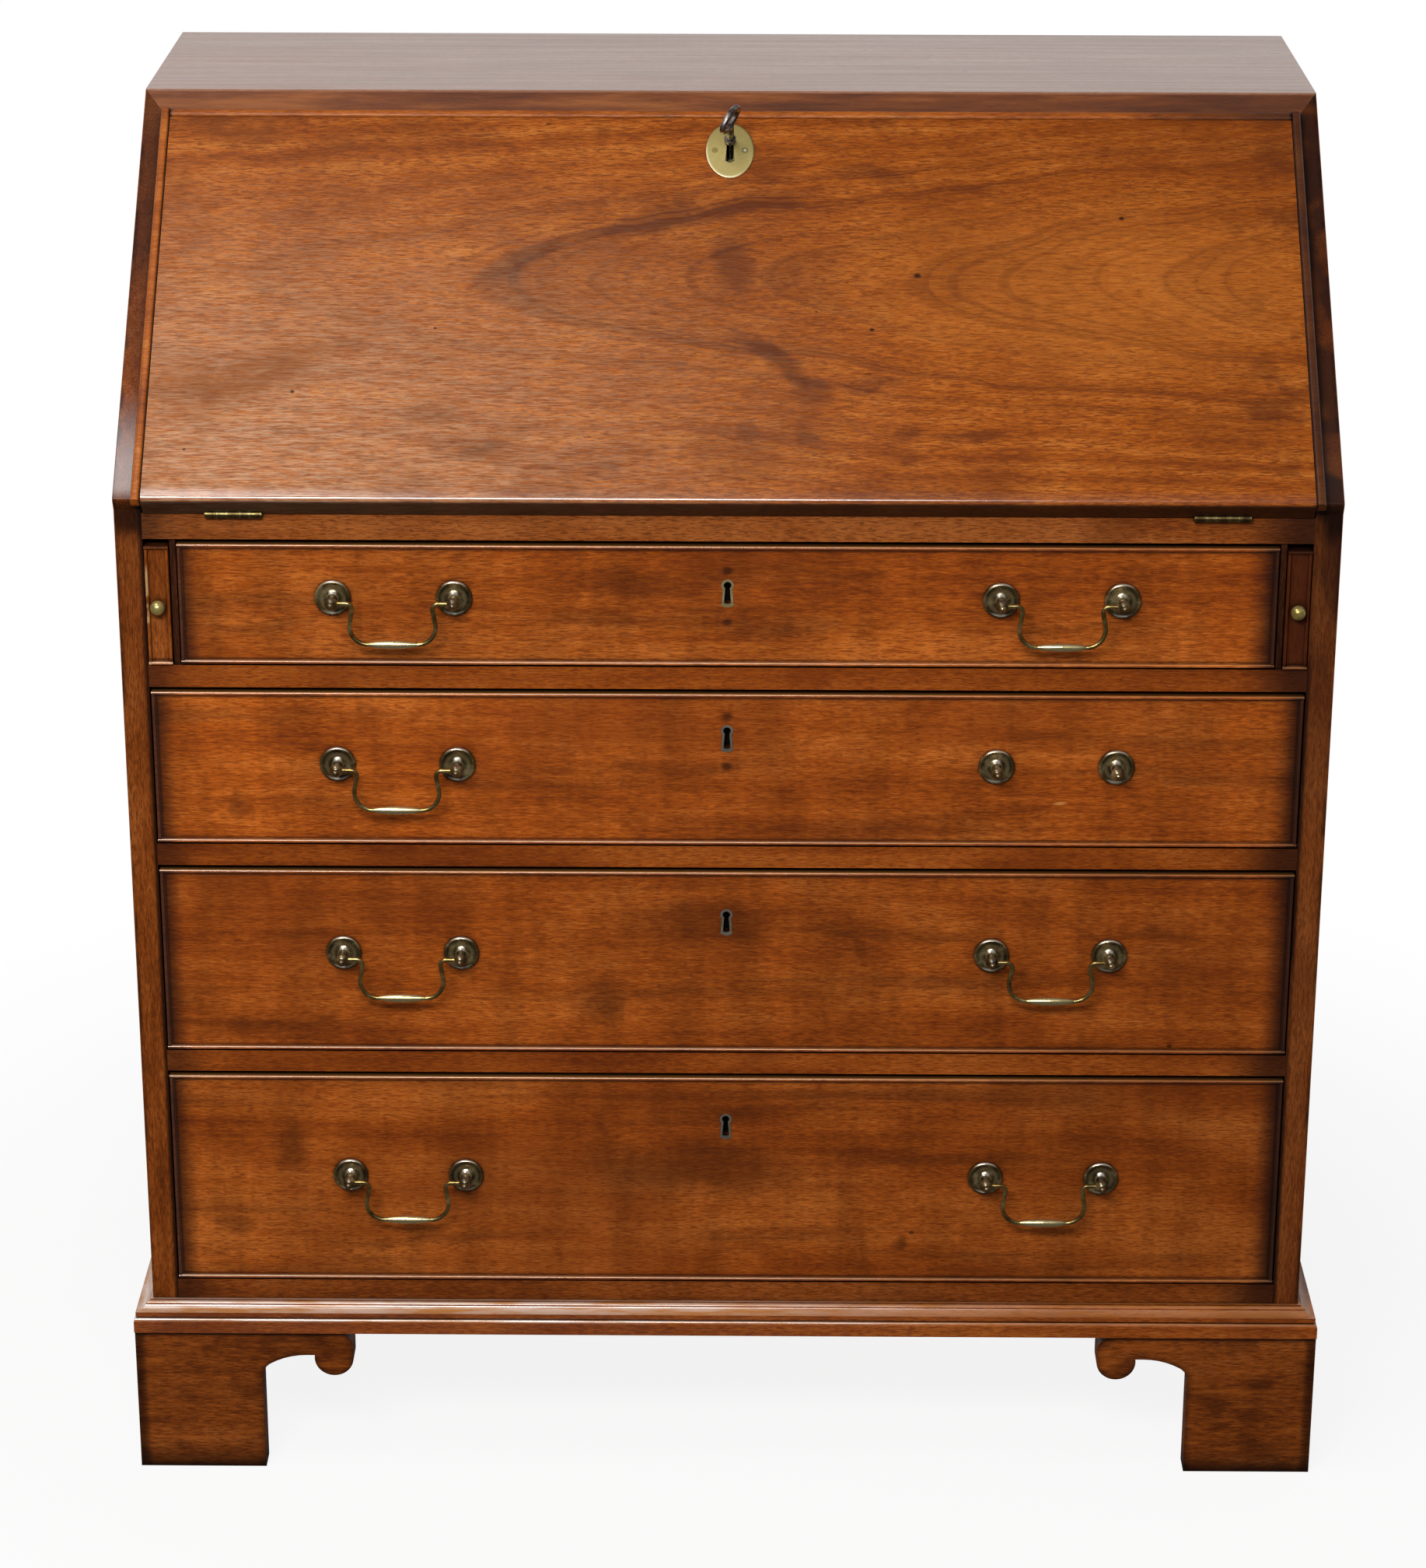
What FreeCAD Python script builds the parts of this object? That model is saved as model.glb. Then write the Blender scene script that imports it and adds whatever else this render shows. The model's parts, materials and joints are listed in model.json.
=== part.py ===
import FreeCAD, Part
import Sketcher
import math
import os
import re

# Slant-front bureau, in millimetres.
# +Z is up, the front faces -Y, and the origin is the middle of the bounding box's underside.

# Driving dimensions
SIZES = {
    # carcass
    "carcass_width": 914,
    "carcass_depth": 503,
    "total_height": 1062,
    "slant_run": 272,
    "side_thick": 20.5,
    "top_thick": 20.5,
    "bottom_thick": 17,
    "back_thick": 9,
    "nose_reach": 4.5,
    "nose_drop": 13,
    "nose_round": 3,
    # base moulding, from its underside up
    "moulding_height": 24,
    "moulding_reach": 14.5,
    "moulding_bed": 45,
    "fascia_height": 9,
    "torus": 3.2,
    "astragal": 2.2,
    "quirk_height": 1.4,
    "quirk_depth": 1.2,
    "cove_height": 3.2,
    "cove_depth": 7.5,
    "fillet_height": 1.2,
    "fillet_reach": 2,
    # bracket feet
    "foot_height": 121,
    "foot_width": 101,
    "foot_thick": 20,
    "foot_inset": 0.5,
    "foot_apron": 19.6,
    "foot_bend": 13,
    "foot_sweep": 58,
    "foot_sweep_turn": 30,
    "lobe_reach": 158.5,
    "lobe_drop": 22,
    "lobe_radius": 15.6,
    "lobe_shoulder": 12,
    "rear_foot_width": 60,
    "rear_foot_flare": 28,
    "block_width": 42,
    "block_lift": 3,
    # writing bed and drawer openings, from the top down
    "bed_height": 800,
    "seat_depth": 10.5,
    "bed_thick": 20,
    "bed_rail_depth": 55,
    "bed_board_thick": 14,
    "opening_first": 99.5,
    "opening_second": 127.5,
    "opening_third": 156,
    "rail_thick": 17.5,
    "rail_depth": 60,
    "dust_thick": 6,
    "runner_width": 28,
    # fall supports beside the top drawer
    "loper_thick": 18,
    "loper_gap": 0.8,
    "loper_length": 380,
    "loper_face": 8,
    "loper_top_gap": 1.5,
    "loper_face_drop": 5.3,
    "loper_knob_radius": 5.6,
    "loper_knob_neck": 1.5,
    "partition_thick": 4.5,
    "partition_set_back": 2,
    "partition_length": 430,
    # long drawers
    "drawer_gap": 1.2,
    "drawer_drop": 3.5,
    "drawer_rise": 1.8,
    "running_gap": 0.3,
    "drawer_rear_gap": 39,
    "front_thick": 20,
    "drawer_side_thick": 10,
    "drawer_side_drop": 6,
    "drawer_back_thick": 10,
    "drawer_bottom_thick": 7,
    "drawer_bottom_rise": 6,
    "groove": 4,
    "dovetail_lap": 10,
    "bead_thick": 2.6,
    "bead_proud": 2,
    "bead_depth": 11,
    # handles
    "handle_spread": 500.5,
    "handle_centres": 91,
    "lift_first": 5.5,
    "lift_second": 3.5,
    "lift_third": 7,
    "lift_fourth": 3,
    "rose_radius": 13.7,
    "rose_thick": 3.2,
    "rose_dish": 1.6,
    "post_reach": 15,
    "post_radius": 2.6,
    "collar_radius": 4.6,
    "boss_radius": 5,
    "finial_radius": 2.8,
    "nut_width": 10,
    "nut_thick": 3,
    "tail_end": 1,
    "bail_radius": 1.75,
    "bail_drop": 32.3,
    "bail_flat": 18.2,
    "bail_corner": 14,
    "bail_bend": 4.5,
    "bail_lean": 10,
    "swell_length": 18,
    "swell_radius": 3.4,
    "fit_gap": 0.05,
    # drawer locks
    "key_drop_first": 31,
    "key_drop_second": 29.8,
    "key_drop_third": 35.8,
    "key_drop_fourth": 36.1,
    "thread_radius": 4.7,
    "thread_slot": 6.8,
    "thread_flare": 9,
    "thread_length": 15.6,
    "thread_wall": 1.8,
    "thread_depth": 3,
    "thread_proud": 0.3,
    "lock_width": 64,
    "lock_height": 44,
    "lock_depth": 11,
    # fall
    "fall_thick": 18.4,
    "fall_gap": 1.5,
    "fall_end_gap": 0.8,
    "fall_nose": 5,
    "lip_overlap": 6,
    "lip_gap": 0.3,
    "lip_crest": 1.5,
    "lip_round": 3,
    "pivot_front": 2,
    # fall hinges
    "hinge_spread": 735,
    "hinge_length": 42.5,
    "leaf_width": 38,
    "leaf_thick": 2,
    "barrel_radius": 3,
    "barrel_gap": 0.4,
    "pin_radius": 1.2,
    "knuckle_gap": 0.3,
    # fall lock and key
    "pin_drop": 23.7,
    "case_width": 80,
    "case_height": 56,
    "case_depth": 10,
    "case_wall": 1.5,
    "bolt_width": 26,
    "bolt_thick": 5,
    "bolt_length": 15,
    "bolt_gap": 0.2,
    "keep_gap": 1.3,
    "plate_width": 37.4,
    "plate_length": 51,
    "plate_thick": 1.2,
    "plate_drop": 7,
    "plate_round": 0.7,
    "keyhole_radius": 3.6,
    "keyhole_slot": 5.2,
    "keyhole_flare": 7.4,
    "keyhole_point": 2,
    "keyhole_length": 17,
    "shank_radius": 3,
    "shank_reach": 23,
    "bit_length": 8,
    "bit_thick": 2.4,
    "bit_height": 4.5,
    "bow_width": 27,
    "bow_height": 19,
    "bow_wire": 2.2,
    "key_turn": 30,
    # pigeonholes and small drawers
    "interior_set_back": 276,
    "small_opening": 66,
    "shelf_thick": 6,
    "divider_thick": 6,
    "divider_set_back": 8,
    "divider_scoop": 24,
    "valance_height": 40,
    "valance_thick": 6,
    "valance_arch": 24,
    "small_gap": 0.8,
    "small_front": 12,
    "small_wall": 6,
    "small_bottom": 4,
    "small_rise": 2,
    "small_rear_gap": 23,
    "small_groove": 2,
    "small_lap": 8,
    "small_knob_radius": 6,
    "small_knob_neck": 7,
}

# Counts that repeat a piece
BACK_PLANKS = 4
PIGEONHOLES = 8
SMALL_DRAWERS = 4
KNUCKLES = 5
SMALL_TAILS = 2
# A dovetail's width at its root and at its end, as shares of the space it takes, and about how much height
# of a long drawer's front each one has
TAIL_ROOT = 0.5
TAIL_END = 0.72
TAIL_PITCH = 36
# Shares that give the small turned and moulded forms their curves
BEAD_SHOULDER = 0.15
BEAD_FULLNESS = 0.55
COVE_BEND = 0.3
STRIP_ROUND = 0.45
KNOB_STEM = 0.43
KNOB_SEAT = 1.5
KNOB_WAIST = 0.8
ROSE_RIM = 0.55
FINIAL_SINK = 0.6
KEY_COLLAR = 1.5
# Rise of the round foot of a drawer's keyhole, as a share of its half width
FOOT_BULGE = 0.35
BOW_ROUND = 0.8
VALANCE_FOOT = 0.2

# Places worked out from the driving dimensions
LAYOUT = {
    "handle_reach": f"post_reach + boss_radius + {1 + FINIAL_SINK} * finial_radius",
    "front": "(handle_reach - carcass_depth) / 2",
    "back": "front + carcass_depth",
    "back_face": "back - back_thick",
    "half_width": "carcass_width / 2",
    "inner_half": "half_width - side_thick",
    "carcass_base": "foot_height + moulding_height",
    "floor_top": "carcass_base + bottom_thick",
    "top_under": "total_height - top_thick",
    "bed_under": "bed_height - bed_thick",
    "level_first": "bed_under - opening_first",
    "under_first": "level_first - rail_thick",
    "level_second": "under_first - opening_second",
    "under_second": "level_second - rail_thick",
    "level_third": "under_second - opening_third",
    "under_third": "level_third - rail_thick",
    "level_fourth": "floor_top",
    "opening_fourth": "under_third - floor_top",
    "base_half": "half_width + moulding_reach",
    "base_front": "front - moulding_reach",
    "foot_half": "base_half - foot_inset",
    "foot_front": "base_front + foot_inset",
    "loper_outer": "inner_half - loper_gap",
    "loper_inner": "loper_outer - loper_thick",
    "partition_outer": "loper_inner - loper_gap",
    "partition_inner": "partition_outer - partition_thick",
    "half_first": "partition_inner - drawer_gap",
    "half_wide": "inner_half - drawer_gap",
    "fall_run": "slant_run + pivot_front",
    "fall_climb": "total_height - bed_height",
    "slant_angle": "acos(seat_depth / sqrt(fall_run ^ 2 + fall_climb ^ 2)) - atan(fall_run / fall_climb)",
    "slant_cos": "cos(slant_angle)",
    "slant_sin": "sin(slant_angle)",
    "slant_rise": "slant_run * slant_sin / slant_cos",
    "knee_height": "total_height - slant_rise",
    "pivot_y": "front - pivot_front",
    "pivot_z": "bed_height",
    "top_bevel": "top_thick * slant_run / slant_rise",
    "slant_end": "fall_run * slant_cos + fall_climb * slant_sin",
    "seat_end": "slant_end - top_thick / slant_sin",
    "tongue_end": "seat_end - fall_gap",
    "lip_end": "seat_end + lip_overlap",
    "fall_half": "inner_half - fall_gap",
    "lip_half": "inner_half + lip_overlap",
    "lip_under": "seat_depth + lip_gap",
    "lip_top": "fall_thick + lip_crest",
    "key_axis": "tongue_end - pin_drop",
    "bolt_low": "bolt_gap + case_wall",
    "bolt_end": "tongue_end - bolt_gap",
    "keep_low": "seat_end - fall_gap + keep_gap",
    "keep_reach": "seat_end + seat_depth * slant_cos / slant_sin + bolt_gap - keep_low",
    "drawer_length": "back_face - front - drawer_rear_gap",
    "interior_front": "front + interior_set_back",
    "small_length": "back_face - interior_front - small_rear_gap",
    "shelf_under": "bed_height + small_opening",
    "shelf_top": "shelf_under + shelf_thick",
    "hole_pitch": f"(2 * inner_half + divider_thick) / {PIGEONHOLES}",
    "small_pitch": f"(2 * inner_half + divider_thick) / {SMALL_DRAWERS}",
}

# Long drawers: name, half width, floor of the opening, its height, lift of the handles over the middle of
# the front, and drop of the keyhole under its top
DRAWERS = (
    ("drawer_1", "half_first", "level_first", "opening_first", "lift_first", "key_drop_first"),
    ("drawer_2", "half_wide", "level_second", "opening_second", "lift_second", "key_drop_second"),
    ("drawer_3", "half_wide", "level_third", "opening_third", "lift_third", "key_drop_third"),
    ("drawer_4", "half_wide", "level_fourth", "opening_fourth", "lift_fourth", "key_drop_fourth"),
)
# The right-hand bail of the second drawer has been lost; its posts are still there.
LOST_BAILS = {("drawer_2", "right")}

SIDES = (("left", -1), ("right", 1))
X_AXIS = FreeCAD.Vector(1, 0, 0)
Y_AXIS = FreeCAD.Vector(0, 1, 0)
Z_AXIS = FreeCAD.Vector(0, 0, 1)
QUARTER_TURN = 90
SAME_PLACE = 0.01

doc = FreeCAD.newDocument("SlantFrontBureau")
nodes = []


# Sheets and formulas

def expr(text):
    """Points the plain names in a formula at their cells."""
    def cell(match):
        word = match.group(0)
        if word in SIZES:
            return "Sizes." + word
        if word in LAYOUT:
            return "Layout." + word
        return word
    return re.sub(r"[a-z][a-z_]*", cell, str(text))


def fill(sheet, entries, mark):
    for row, (alias, content) in enumerate(entries.items(), start=1):
        sheet.set(f"A{row}", alias)
        sheet.set(f"B{row}", mark + expr(content))
        sheet.setAlias(f"B{row}", alias)


sizes = doc.addObject("Spreadsheet::Sheet", "Sizes")
fill(sizes, SIZES, "")
layout = doc.addObject("Spreadsheet::Sheet", "Layout")
fill(layout, LAYOUT, "=")
doc.recompute()


def value(text):
    """Works out a formula of sizes as a number."""
    result = layout.evalExpression(expr(text))
    return float(getattr(result, "Value", result))


def bind(obj, prop, text):
    obj.setExpression(prop, expr(text))


# Placing and combining pieces

def place(obj, at, frame="world"):
    """Binds a piece's place. The fall's own frame runs along x, up the slant and out of the fall."""
    across, along, up = at
    bind(obj, "Placement.Base.x", across)
    if frame == "fall":
        obj.Placement = FreeCAD.Placement(FreeCAD.Vector(), FreeCAD.Rotation(X_AXIS, 1))
        bind(obj, "Placement.Rotation.Angle", "slant_angle")
        bind(obj, "Placement.Base.y", f"pivot_y + ({along}) * slant_cos - ({up}) * slant_sin")
        bind(obj, "Placement.Base.z", f"pivot_z + ({along}) * slant_sin + ({up}) * slant_cos")
    else:
        bind(obj, "Placement.Base.y", along)
        bind(obj, "Placement.Base.z", up)
    return obj


def box(label, size, at, frame="world"):
    obj = doc.addObject("Part::Box", label)
    for prop, text in zip(("Length", "Width", "Height"), size):
        bind(obj, prop, text)
    return place(obj, at, frame)


def rod(label, radius, length, at, direction, frame="world"):
    """A cylinder along x, along y (backwards) or out of the fall."""
    obj = doc.addObject("Part::Cylinder", label)
    bind(obj, "Radius", radius)
    bind(obj, "Height", length)
    place(obj, at, frame)
    if direction == "x":
        obj.Placement.Rotation = FreeCAD.Rotation(Y_AXIS, QUARTER_TURN)
    elif direction == "y":
        obj.Placement.Rotation = FreeCAD.Rotation(X_AXIS, -QUARTER_TURN)
    return obj


def fuse(label, pieces):
    obj = doc.addObject("Part::MultiFuse", label)
    obj.Shapes = pieces
    obj.Refine = True
    return obj


def cut(label, base, tools):
    obj = doc.addObject("Part::Cut", label)
    obj.Base = base
    obj.Tool = tools[0] if len(tools) == 1 else fuse(label + "_tools", tools)
    return obj


def group(label, pieces):
    obj = doc.addObject("Part::Compound", label)
    obj.Links = pieces
    return obj


def mirror(label, source):
    obj = doc.addObject("Part::Mirroring", label)
    obj.Source = source
    obj.Normal = X_AXIS
    return obj


def node(obj, label):
    obj.Label = label
    nodes.append(obj)
    return obj


# Bodies made from sketches

def body(label, at=("0", "0", "0"), frame="world"):
    return place(doc.addObject("PartDesign::Body", label), at, frame)


def sketch(owner, role):
    plane = [part for part in owner.Origin.OriginFeatures if part.Role == role][0]
    obj = owner.newObject("Sketcher::SketchObject", owner.Name + "_sketch")
    obj.AttachmentSupport = [(plane, "")]
    obj.MapMode = "FlatFace"
    return obj


def polygon(owner, role, corners):
    """A closed sketch of straight sides whose corners are bound to formulas."""
    obj = sketch(owner, role)
    points = [FreeCAD.Vector(value(u), value(v), 0) for u, v in corners]
    count = len(points)
    for i in range(count):
        obj.addGeometry(Part.LineSegment(points[i], points[(i + 1) % count]), False)
    for i in range(count):
        obj.addConstraint(Sketcher.Constraint("Coincident", i, 2, (i + 1) % count, 1))
    for i, (u, v) in enumerate(corners):
        for kind, text, size in (("DistanceX", u, points[i].x), ("DistanceY", v, points[i].y)):
            index = obj.addConstraint(Sketcher.Constraint(kind, -1, 1, i, 1, size))
            bind(obj, f"Constraints[{index}]", text)
    return obj


def outline(owner, role, edges):
    """A sketch of the given lines and arcs."""
    obj = sketch(owner, role)
    for edge in edges:
        obj.addGeometry(edge, False)
    return obj


def pad(owner, profile, length, both_ways=False, reverse=False):
    obj = owner.newObject("PartDesign::Pad", owner.Name + "_pad")
    obj.Profile = profile
    bind(obj, "Length", length)
    obj.Reversed = reverse
    if both_ways:
        obj.SideType = "Symmetric"
    return obj


def pocket_through(owner, profile):
    obj = owner.newObject("PartDesign::Pocket", owner.Name + "_pocket")
    obj.Profile = profile
    obj.Type = "ThroughAll"
    obj.SideType = "Symmetric"
    return obj


def round_edges(owner, feature, radius, chosen):
    """Rounds the edges of a feature whose middle point passes the test."""
    doc.recompute()
    names = [f"Edge{i}" for i, edge in enumerate(feature.Shape.Edges, start=1)
             if chosen(edge.CenterOfMass, edge)]
    obj = owner.newObject("PartDesign::Fillet", owner.Name + "_round")
    obj.Base = (feature, names)
    bind(obj, "Radius", radius)
    return obj


def turned(label, edges, at):
    """A turned piece whose axis points forwards: edges give radius and distance in front of its seat."""
    owner = body(label, at)
    profile = outline(owner, "XY_Plane", edges)
    obj = owner.newObject("PartDesign::Revolution", label + "_turning")
    obj.Profile = profile
    obj.ReferenceAxis = (profile, ["V_Axis"])
    obj.Angle = 360
    return owner


def line(start, end):
    return Part.LineSegment(FreeCAD.Vector(*start, 0), FreeCAD.Vector(*end, 0))


def arc(start, middle, end):
    return Part.Arc(FreeCAD.Vector(*start, 0), FreeCAD.Vector(*middle, 0), FreeCAD.Vector(*end, 0))


def round_arc(centre, radius, first, last):
    """An arc about a centre between two angles in degrees."""
    def point(angle):
        turn = math.radians(angle)
        return (centre[0] + radius * math.cos(turn), centre[1] + radius * math.sin(turn))
    return arc(point(first), point((first + last) / 2), point(last))


def chain(points):
    return [line(a, b) for a, b in zip(points, points[1:])]


# Carcass

def make_sides():
    left = body("side_left", ("-half_width", "0", "0"))
    profile = polygon(left, "YZ_Plane", (
        ("front", "carcass_base"),
        ("back", "carcass_base"),
        ("back", "total_height"),
        ("front + slant_run", "total_height"),
        ("front - nose_reach", "knee_height - nose_reach * slant_rise / slant_run"),
        ("front", "knee_height - nose_drop"),
    ))
    board = pad(left, profile, "side_thick")
    nose_y = value("front - nose_reach")
    round_edges(left, board, "nose_round", lambda p, edge: abs(p.y - nose_y) < SAME_PLACE)
    mitre = polygon(left, "XZ_Plane", (
        ("0", "total_height"),
        ("side_thick", "total_height"),
        ("side_thick", "top_under"),
    ))
    pocket_through(left, mitre)
    node(left, "side_left")
    node(mirror("side_right", left), "side_right")


def make_top():
    top = body("top_blank", ("0", "front + slant_run - top_bevel", "0"))
    section = polygon(top, "XZ_Plane", (
        ("-half_width", "total_height"),
        ("half_width", "total_height"),
        ("inner_half", "top_under"),
        ("-inner_half", "top_under"),
    ))
    pad(top, section, "carcass_depth - slant_run + top_bevel", reverse=True)
    bevel = polygon(top, "YZ_Plane", (
        ("0", "top_under"),
        ("top_bevel", "total_height"),
        ("0", "total_height"),
    ))
    pocket_through(top, bevel)
    node(cut("top_board", top, [bolt_room("top_mortise")]), "top_board")


def bolt_room(label):
    """The room that the fall's bolt shoots into, in the keep and in the top board behind it."""
    return box(label, ("bolt_width + 4 * bolt_gap", "keep_reach", "bolt_thick + 4 * bolt_gap"),
               ("-bolt_width / 2 - 2 * bolt_gap", "keep_low", "bolt_low - 2 * bolt_gap"), "fall")


def make_boards():
    across = "2 * inner_half"
    inside = "back_face - front"
    node(box("bottom_board", (across, inside, "bottom_thick"),
             ("-inner_half", "front", "carcass_base")), "bottom_board")
    plank = f"2 * inner_half / {BACK_PLANKS}"
    planks = [box(f"back_plank_{i}", (plank, "back_thick", "top_under - carcass_base"),
                  (f"-inner_half + {i} * {plank}", "back_face", "carcass_base"))
              for i in range(BACK_PLANKS)]
    node(group("back_boards", planks), "back_boards")
    node(box("writing_bed", (across, f"{inside} - bed_rail_depth", "bed_board_thick"),
             ("-inner_half", "front + bed_rail_depth", "bed_height - bed_board_thick")), "writing_bed")


def hinge_recess(label, side, frame):
    """The room that one hinge needs in the wood: its leaf and its barrel."""
    start = f"{side} * hinge_spread / 2 - hinge_length / 2 - knuckle_gap"
    length = "hinge_length + 2 * knuckle_gap"
    at = (start, "0", "0") if frame == "fall" else (start, "pivot_y", "pivot_z - leaf_thick")
    leaf = box(f"{label}_leaf", (length, "leaf_width", "leaf_thick"), at, frame)
    barrel = rod(f"{label}_barrel", "barrel_radius + barrel_gap", length, (start, "pivot_y", "pivot_z"), "x")
    return [leaf, barrel]


def make_rails():
    across = "2 * inner_half"
    blank = box("bed_rail_blank", (across, "bed_rail_depth", "bed_thick"),
                ("-inner_half", "front", "bed_under"))
    recesses = []
    for name, side in SIDES:
        recesses += hinge_recess(f"bed_recess_{name}", side, "world")
    node(cut("bed_rail", blank, recesses), "bed_rail")
    rails = []
    runners = []
    dust_boards = []
    run = "back_face - front - rail_depth"
    behind = "front + rail_depth"
    for step, under in (("first", "under_first"), ("second", "under_second"), ("third", "under_third")):
        rails.append(box(f"rail_{step}", (across, "rail_depth", "rail_thick"),
                         ("-inner_half", "front", under)))
        inner = "partition_inner - runner_width" if step == "first" else "inner_half - runner_width"
        width = f"inner_half - ({inner})"
        runners.append(box(f"runner_{step}_left", (width, run, "rail_thick"), ("-inner_half", behind, under)))
        runners.append(box(f"runner_{step}_right", (width, run, "rail_thick"), (inner, behind, under)))
        dust_boards.append(box(f"dust_{step}", (f"2 * ({inner})", run, "dust_thick"),
                               (f"-({inner})", behind, f"{under} + (rail_thick - dust_thick) / 2")))
    node(group("drawer_rails", rails), "drawer_rails")
    node(group("drawer_runners", runners), "drawer_runners")
    node(group("dust_boards", dust_boards), "dust_boards")
    sheet_size = ("partition_thick", "partition_length", "opening_first")
    partitions = [box("partition_left", sheet_size,
                      ("-partition_outer", "front + partition_set_back", "level_first")),
                  box("partition_right", sheet_size,
                      ("partition_inner", "front + partition_set_back", "level_first"))]
    node(group("loper_partitions", partitions), "loper_partitions")


# Base moulding and feet

def moulding_edges(place_point):
    """The moulding's section, as distances out of the carcass and heights over its underside."""
    reach = value("moulding_reach")
    top = value("moulding_height")
    bead = value("astragal")
    torus = value("torus")
    fascia = value("fascia_height")
    quirk_low = fascia + torus
    quirk_high = quirk_low + value("quirk_height")
    fillet_low = top - value("fillet_height")
    bead_low = fillet_low - bead
    cove_low = bead_low - value("cove_height")
    band = reach - torus / 2
    quirk = band - value("quirk_depth")
    fillet = value("fillet_reach")
    cove_top = band - value("cove_depth")
    bed = -value("moulding_bed")

    at = place_point
    cove_middle = (cove_top + (band - cove_top) * COVE_BEND, cove_low + (bead_low - cove_low) * COVE_BEND)
    return [
        line(at(bed, 0), at(reach, 0)),
        line(at(reach, 0), at(reach, fascia)),
        arc(at(reach, fascia), at(reach - torus * BEAD_SHOULDER, fascia + torus * BEAD_FULLNESS),
            at(band, quirk_low)),
        line(at(band, quirk_low), at(quirk, quirk_low)),
        line(at(quirk, quirk_low), at(quirk, quirk_high)),
        line(at(quirk, quirk_high), at(band, quirk_high)),
        line(at(band, quirk_high), at(band, cove_low)),
        arc(at(band, cove_low), at(*cove_middle), at(cove_top, bead_low)),
        arc(at(cove_top, bead_low), at(cove_top - bead * BEAD_SHOULDER, bead_low + bead * BEAD_FULLNESS),
            at(fillet, fillet_low)),
        line(at(fillet, fillet_low), at(fillet, top)),
        line(at(fillet, top), at(bed, top)),
        line(at(bed, top), at(bed, 0)),
    ]


def make_moulding():
    front_piece = body("base_moulding_front", ("0", "front", "foot_height"))
    section = outline(front_piece, "YZ_Plane", moulding_edges(lambda out, up: (-out, up)))
    pad(front_piece, section, "2 * base_half", both_ways=True)
    for side in (-1, 1):
        mitre = polygon(front_piece, "XY_Plane", (
            (f"{side} * (base_half + moulding_reach)", "-2 * moulding_reach"),
            (f"{side} * (base_half - 2 * moulding_bed)", "2 * moulding_bed - moulding_reach"),
            (f"{side} * (base_half + moulding_reach)", "2 * moulding_bed - moulding_reach"),
        ))
        pocket_through(front_piece, mitre)

    left = body("base_moulding_left", ("-half_width", "base_front", "foot_height"))
    section = outline(left, "XZ_Plane", moulding_edges(lambda out, up: (-out, up)))
    pad(left, section, "carcass_depth + moulding_reach", reverse=True)
    mitre = polygon(left, "XY_Plane", (
        ("-2 * moulding_reach", "-moulding_reach"),
        ("2 * moulding_bed", "moulding_reach + 2 * moulding_bed"),
        ("2 * moulding_bed", "-moulding_reach"),
    ))
    pocket_through(left, mitre)
    right = mirror("base_moulding_right", left)
    node(group("base_moulding", [front_piece, left, right]), "base_moulding")
    node(box("base_back_rail", ("2 * (half_width - moulding_bed)", "moulding_bed", "moulding_height"),
             ("-half_width + moulding_bed", "back - moulding_bed", "foot_height")), "base_back_rail")


def bracket_edges(direction):
    """A bracket foot's face: a straight leg, a tight bend easing into a long sweep, and a scrolled lobe."""
    top = value("foot_height")
    leg = value("foot_width")
    bend = value("foot_bend")
    sweep = value("foot_sweep")
    turn = value("foot_sweep_turn")
    apron = top - value("foot_apron")
    lobe = (value("lobe_reach"), top - value("lobe_drop"))
    radius = value("lobe_radius")
    rise = math.degrees(math.asin((apron - lobe[1]) / radius))
    lobe_start = lobe[0] - radius * math.cos(math.radians(rise))
    lobe_end = lobe[0] + radius

    def flip(edge):
        if direction > 0:
            return edge
        turn = FreeCAD.Matrix()
        turn.scale(direction, 1, 1)
        edge.transform(turn)
        return edge

    ease = sweep - bend
    bend_centre = (leg + bend, apron - sweep + ease * math.cos(math.radians(turn)))
    sweep_centre = (bend_centre[0] + ease * math.sin(math.radians(turn)), apron - sweep)
    edges = chain([(0, top), (0, 0), (leg, 0), (leg, bend_centre[1])])
    edges.append(round_arc(bend_centre, bend, 180, 90 + turn))
    edges.append(round_arc(sweep_centre, sweep, 90 + turn, 90))
    edges.append(line((sweep_centre[0], apron), (lobe_start, apron)))
    edges.append(round_arc(lobe, radius, 180 - rise, 270))
    edges.append(round_arc(lobe, radius, 270, 360))
    shoulder = value("lobe_shoulder")
    edges.append(line((lobe_end, lobe[1]), (lobe_end, top - shoulder)))
    edges.append(round_arc((lobe_end - shoulder, top - shoulder), shoulder, 0, 90))
    edges.append(line((lobe_end - shoulder, top), (0, top)))
    return [flip(edge) for edge in edges]


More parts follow.
